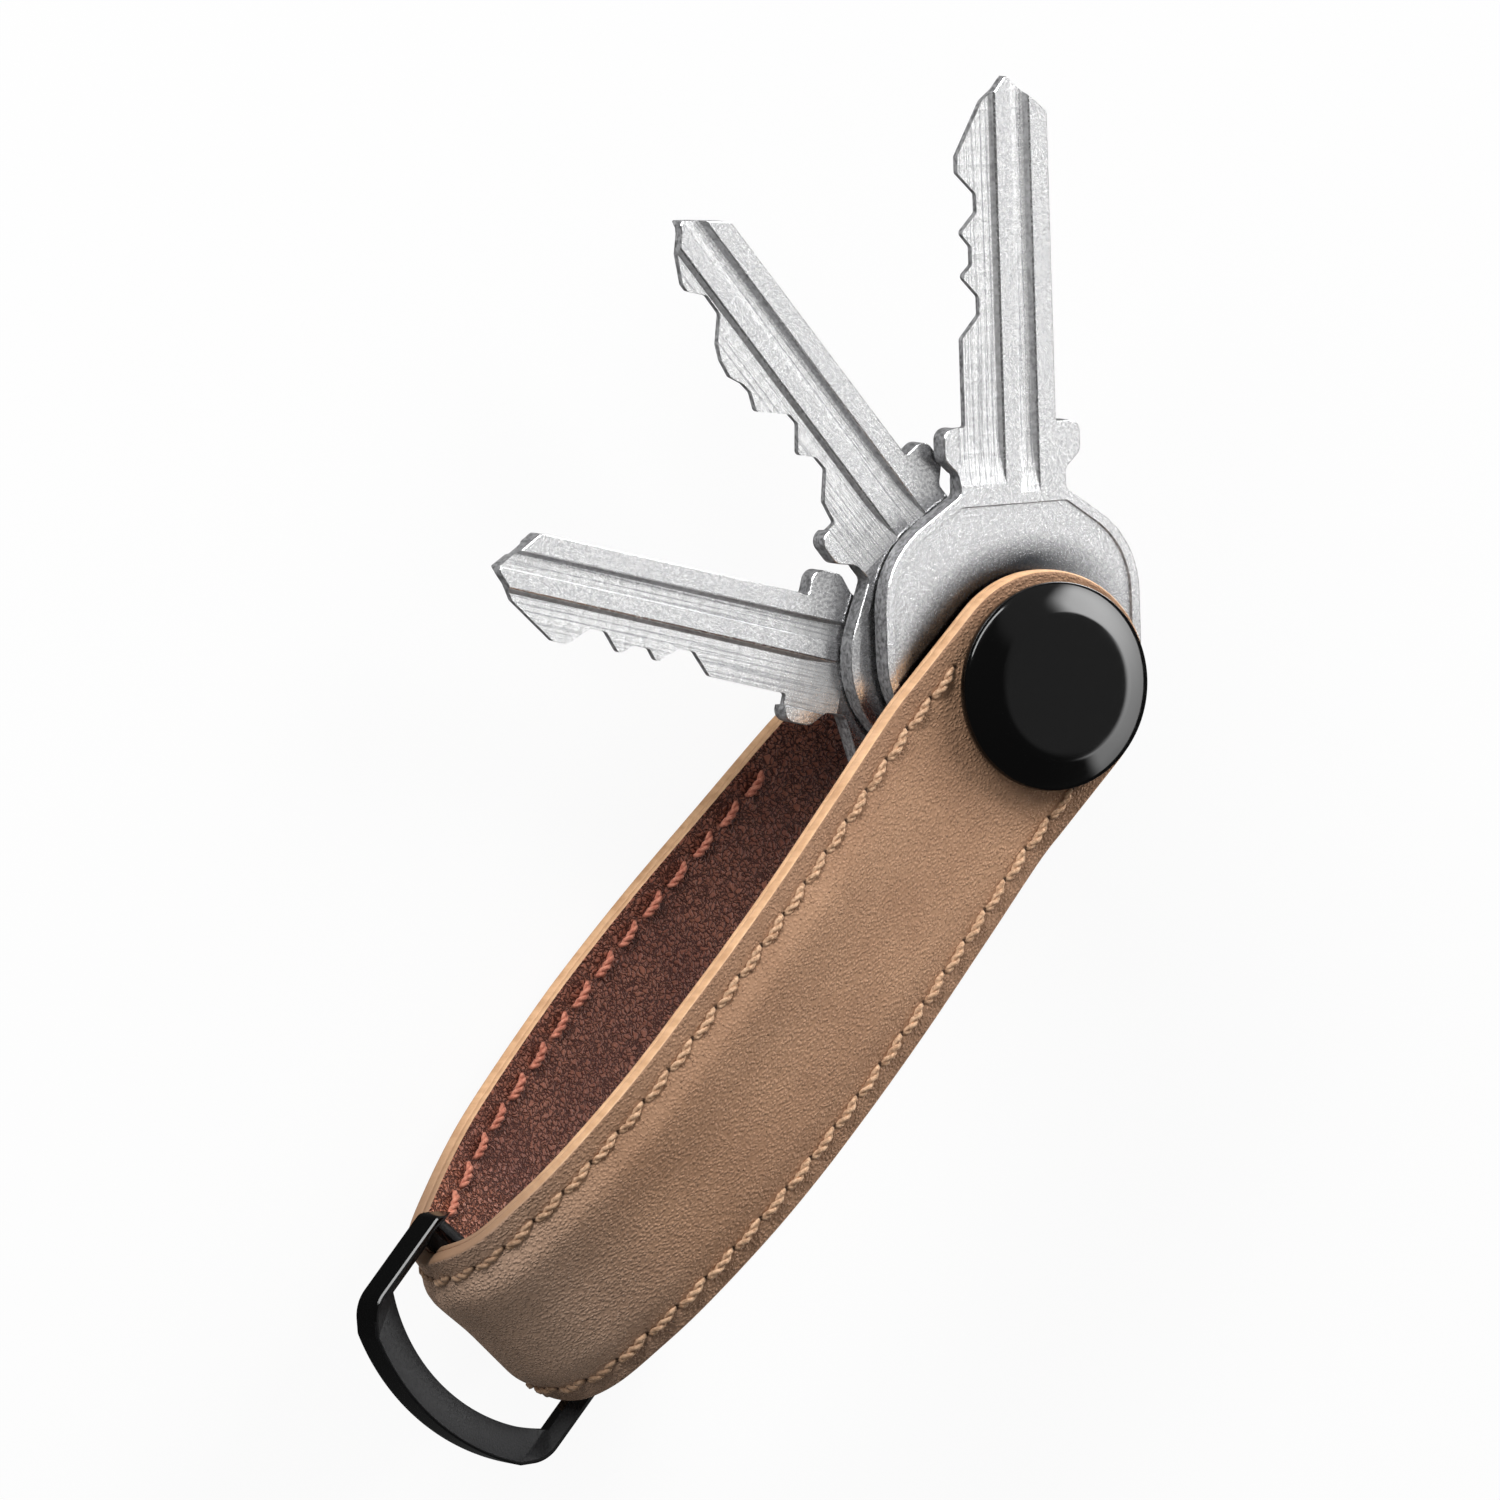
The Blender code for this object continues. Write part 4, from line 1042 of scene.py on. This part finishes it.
keys = [  # node, piece, angle, play shares, bitting
    ("key_front", "frontKey", 45.0, (0.048, 0.643), bitting),
    ("key_middle", "middleKey", 82.6, (0.048, 0.167), otherBitting),
    ("key_rear", "rearKey", 119.6, (-0.714, 0.476), bitting),
]


def keyOutline(cuts, values=keyBlank):
    shoulder, width, length, offset = take(values, "shoulder bladeWidth bladeLength headOffset")
    lugStart, lugHalf, lugRound = take(values, "lugStart lugHalf lugRound")
    neckStart, neckEnd, neckHalf, neckRound = take(values, "neckStart neckEnd neckHalf neckRound")
    headBack, headHalf, backRound = take(values, "headBack headHalf backRound")
    sideEnd, sideRound = take(values, "sideEnd sideRound")
    side = [  # x, half width, radius and shift of its middle, from the shoulder to the back
        (shoulder, lugHalf, lugRound, 0.0), (lugStart, lugHalf, lugRound, 0.0),
        (neckEnd, neckHalf, neckRound, 0.0), (neckStart, neckHalf, neckRound, 0.0),
        (sideEnd, headHalf, sideRound, offset), (-headBack, headHalf, backRound, offset),
    ]
    corners = [(x, shift - half, r) for x, half, r, shift in side]
    corners += [(x, shift + half, r) for x, half, r, shift in reversed(side)]
    corners.append((shoulder, width / 2, 0.25))
    corners += [(shoulder + s * length, h * width, values["bittingRound"]) for s, h in cuts]
    corners.append((shoulder, -width / 2, 0.25))
    return roundedOutline(corners, 10)


def panelOutline(grow, values=keyBlank):
    headHalf, neckHalf, offset = take(values, "headHalf neckHalf headOffset")
    border, front = values["panelBorder"] - grow, values["panelFront"] + grow
    lean = (values["neckStart"] - values["sideEnd"]) / (headHalf - neckHalf)
    half = headHalf - border
    sideEnd, back = front - lean * (half - neckHalf), values["headBack"] - border
    side = [
        (front, neckHalf, 0.6, 0.0), (sideEnd, half, values["sideRound"] - border, offset),
        (-back, half, values["backRound"] - border, offset),
    ]
    corners = [(x, shift - width, r) for x, width, r, shift in side]
    corners += [(x, shift + width, r) for x, width, r, shift in reversed(side)]
    return roundedOutline(corners, 12)


def panelCutter(play, high, sign, values=keyBlank):
    # The sunk panel on one side: walls that lean out, drawn by two outlines of the same count
    depth, slope = values["panelDepth"], values["panelSlope"]
    levels = ((-slope / 2, high - sign * depth), (slope / 2, high), (slope / 2, high + sign * 1.0))
    rings = []
    for grow, z in levels:
        rings.append([(p.x + play.x, p.y + play.y, z) for p in panelOutline(grow)])
    return ringsMesh("panelCutter", rings)


def millCutter(play, front, start, runOut, low, high, depth, lowWall, highWall, floor, values=keyBlank):
    # A milled band along the blade whose floor climbs out of the metal in the arc of the cutter
    top, sign = (values["thickness"], -1.0) if front else (0.0, 1.0)
    end = values["shoulder"] + values["bladeLength"] + 2.0
    rings = []
    for share in (-0.03, 0.04, 0.1, 0.18, 0.28, 0.4, 0.52, 0.65, 0.8, 1.0, 9.0):
        u = start + runOut * share if share <= 1.0 else end
        sunk = 1 - (1 - min(share, 1.0)) ** 2
        feet = np.linspace(low + lowWall * sunk, high - highWall, len(floor))
        section = [(low - lowWall * 0.3 / depth, -0.3)]
        section += [(y, depth * sunk * part) for y, part in zip(feet, floor)]
        section += [(high, 0.0), (high + highWall, -0.3)]
        rings.append([(u + play.x, y + play.y, top + sign * z) for y, z in section])
    return ringsMesh("millCutter", rings)


def nickelPlate():
    # Tumbled nickel plate: pale and finely speckled with painted glints, drawn in lines where the blade is
    # milled, mottled and painted darker as shade on the walls, and painted shade where another piece lies
    # close
    material, tree, shader = newMaterial("tumbledNickelPlate", "#e9e9ea", 0.26, 1.0)
    place = surfacePlace(tree)
    along, across, height = place.parts()
    blade = along.ramp(15.4, 16.0)
    sunk = 1.0 - abs(height - keyBlank["thickness"] / 2)
    milled = sunk.ramp(0.01, 0.06) * blade
    specks = place.noise(3.9, 3.0, 0.7)
    lines = surfacePlace(tree, (0.008, 1.0, 0.3)).noise(7.5, 1.0, 0.5)
    chatter = (along * 0.66).math("FRACT")
    mottles = place.noise(2.6, 4.0, 0.7)
    tone = specks.ramp(0.42, 0.62).blend("#d0d0d2", "#ffffff")
    # painted glints: white flecks in the base colour
    tone = place.noise(5.2, 2.0, 0.6).ramp(0.54, 0.62).blend(tone, "#ffffff")
    drawn = lines.ramp(0.34, 0.52).blend("#d3d3d5", "#ffffff")
    tone = milled.blend(tone, (chatter * 0.24).blend(drawn, "#b0b0b2"))
    normal = field(tree, "ShaderNodeNewGeometry", output="True Normal")
    level = abs(normal.parts()[2])
    # walls and groove slopes: a real mottle and rougher finish, with painted shade darkening them and
    # lowering their metal
    slope = level.ramp(0.84, 0.95, 0.7, 0.0) * sunk.ramp(0.1, 0.16) * blade
    wall = level.ramp(0.45, 0.66, 1.0, 0.0).math("MAXIMUM", slope)
    tone = wall.blend(tone, mottles.ramp(0.35, 0.65).blend("#5e5e5f", "#b0b0b2"))
    # painted shade and shadow: dark where another piece lies close, strongest by the strap's head on its +y
    # side, in a cool grey that hides the strap's warm reflection
    clear = field(tree, "ShaderNodeAmbientOcclusion", {"Distance": 0.005}, "AO", samples=8)
    toPost = objectPlace(tree, (postX / metre, postY / metre, 0.0)).parts()[1]
    paintedShade = clear.ramp(0.72, 0.98, 0.97, 0.0) * along.length(across).ramp(11.6, 13.6, 1.0, 0.2)
    (paintedShade * toPost.ramp(-3.0, 8.0, 0.3, 1.0)).blend(tone, "#1f2329").to(shader, "Base Color")
    (specks.ramp(0.3, 0.7, 0.3, 0.2) + wall * 0.15).to(shader, "Roughness")
    (1.0 - wall * 0.75).to(shader, "Metallic")
    base = specks.bump(shader, 0.00002, 0.4)
    base = (lines * milled).bump(shader, 0.000004, 0.4, base)
    (mottles * wall).bump(shader, 0.0001, 0.8, base)
    return material


nickel = nickelPlate()


def makeKey(node, name, angle, playShares, cuts, values=keyBlank):
    play = Vector(playShares) * values["slack"]
    outline = [point + play for point in keyOutline(cuts)]
    hole = circleOutline(values["holeRadius"], 72, play)[::-1]
    mesh = plateMesh(name, [outline, hole], 0.0, values["thickness"], values["edge"])
    tools = [panelCutter(play, values["thickness"], 1.0), panelCutter(play, 0.0, -1.0)]
    tools += [millCutter(play, True, *cut) for cut in values["frontCuts"]]
    tools += [millCutter(play, False, *cut) for cut in values["rearCuts"]]
    mesh = carve(mesh, tools)
    markLocal(mesh)
    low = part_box(node)[0].z * metre
    place = onPost @ Matrix.Translation((0.0, 0.0, low)) @ Matrix.Rotation(radians(angle), 4, "Z")
    finishPiece(name, mesh, [nickel], [node], node, place, 14, True)


for key in keys:
    makeKey(*key)


print("stage: loop")
loop = {
    "barRadius": 0.9, "barGap": 1.85, "sideGap": 0.45, "arm": 1.2, "eyeGap": 5.4, "bowWidth": 3.0,
    "bowSag": 2.1, "innerSag": 3.2, "sideShare": 0.83, "height": 3.5, "landShare": 0.4, "rim": 0.35,
    "tail": 1.3, "cornerRound": 3.3, "edge": 0.14, "leaf": 2.15, "barShow": 1.35, "barShift": 0.75,
}


def arcThrough(half, apex, sag, steps=40):
    radius = (half ** 2 + sag ** 2) / (2 * sag)
    sweep = atan2(half, radius - sag)
    angles = np.linspace(-sweep, sweep, steps + 1)
    return [Vector((apex - radius + radius * cos(a), radius * sin(a))) for a in angles]


def slopeCutter(name, wide, narrow, wideZ, narrowZ, farZ):
    # The hull between a wide outline and a narrow one, which slopes a face inwards
    shape = bmesh.new()
    for outline, height in ((wide, farZ), (wide, wideZ), (narrow, narrowZ)):
        for point in outline:
            shape.verts.new((point.x, point.y, height))
    hull = bmesh.ops.convex_hull(shape, input=shape.verts)
    loose = [v for v in hull["geom_interior"] if isinstance(v, bmesh.types.BMVert)]
    bmesh.ops.delete(shape, geom=loose, context="VERTS")
    return toMesh(name, shape)


def satinBlack():
    # The same black on blasted faces: satin, with a fine even grit
    material, tree, shader = newMaterial("satinBlackLacquer", "#161617", 0.42, specular=0.1)
    grit = objectPlace(tree).noise(6.0, 2.0, 0.6)
    grit.ramp(0.3, 0.7).blend("#0f0f10", "#1d1d1e").to(shader, "Base Color")
    grit.ramp(0.3, 0.7, 0.34, 0.52).to(shader, "Roughness")
    grit.bump(shader, 0.00002, 0.5)
    return material


def makeLoop(values=loop):
    arm, bowWidth, bowSag, rounding = take(values, "arm bowWidth bowSag cornerRound")
    reach = values["leaf"] + values["barGap"] + values["barRadius"] + values["eyeGap"] + bowWidth
    innerHalf = strap["foldHalf"] + values["sideGap"]
    outerHalf = innerHalf + arm
    half, tail = values["height"] / 2, -values["tail"]
    bowHalf = outerHalf * values["sideShare"]
    cornerX = reach - bowSag - (outerHalf - bowHalf)
    corners = [(tail, -innerHalf, 0), (0.0, -outerHalf, 0.8), (cornerX, -outerHalf, rounding)]
    bow = [(point.x, point.y, 0) for point in arcThrough(bowHalf, reach, bowSag)]
    outer = roundedOutline(corners + bow + [(x, -y, r) for x, y, r in reversed(corners)], 10)
    innerBow = arcThrough(innerHalf, reach - bowWidth, values["innerSag"])
    mesh = plateMesh("wireLoop", [outer + innerBow[::-1]], -half, half, values["edge"])
    back = tail - 2.0
    inner = [Vector((back, innerHalf)), Vector((back, -innerHalf))] + innerBow
    center = Vector((reach / 2, 0.0))
    wide = [center + (point - center) * (1 - values["rim"] / outerHalf) for point in outer]
    land, far = values["landShare"] * half, half + 2.0
    mesh = carve(mesh, [
        slopeCutter("slopeTop", wide, inner, half, land, far),
        slopeCutter("slopeBottom", wide, inner, -half, -land, -far),
    ])
    barHalf = outerHalf - arm / 2
    radius = values["barShow"]   # the cast bar is stouter than the CAD's and lies deeper in the fold
    bar = latheMesh("loopBar", [(0.0, -barHalf), (radius, -barHalf), (radius, barHalf), (0.0, barHalf)], 32)
    bar.transform(Matrix.Translation((values["barShift"], 0.0, 0.0)) @ Matrix.Rotation(pi / 2, 4, "X"))
    mesh = carve(mesh, [bar], "UNION")
    slopes = [
        face.index for face in mesh.polygons
        if 0.25 < abs(face.normal.z) < 0.97 and face.area > 0.08
        and land - 0.05 <= abs(face.center.z) < half - 0.02 and abs(face.center.y) < outerHalf - 0.3
    ]
    joint = joints["loop_swing"]
    turn = atan2(-joint["axis"][0], joint["axis"][1])
    place = Matrix.Translation([v * metre for v in joint["pos_m"]]) @ Matrix.Rotation(pi + turn, 4, "Z")
    finishPiece("castLoop", mesh, [lacquer, satinBlack()], ["loop"], "loop", place, 25)
    for index in slopes:
        mesh.polygons[index].material_index = 1


makeLoop()
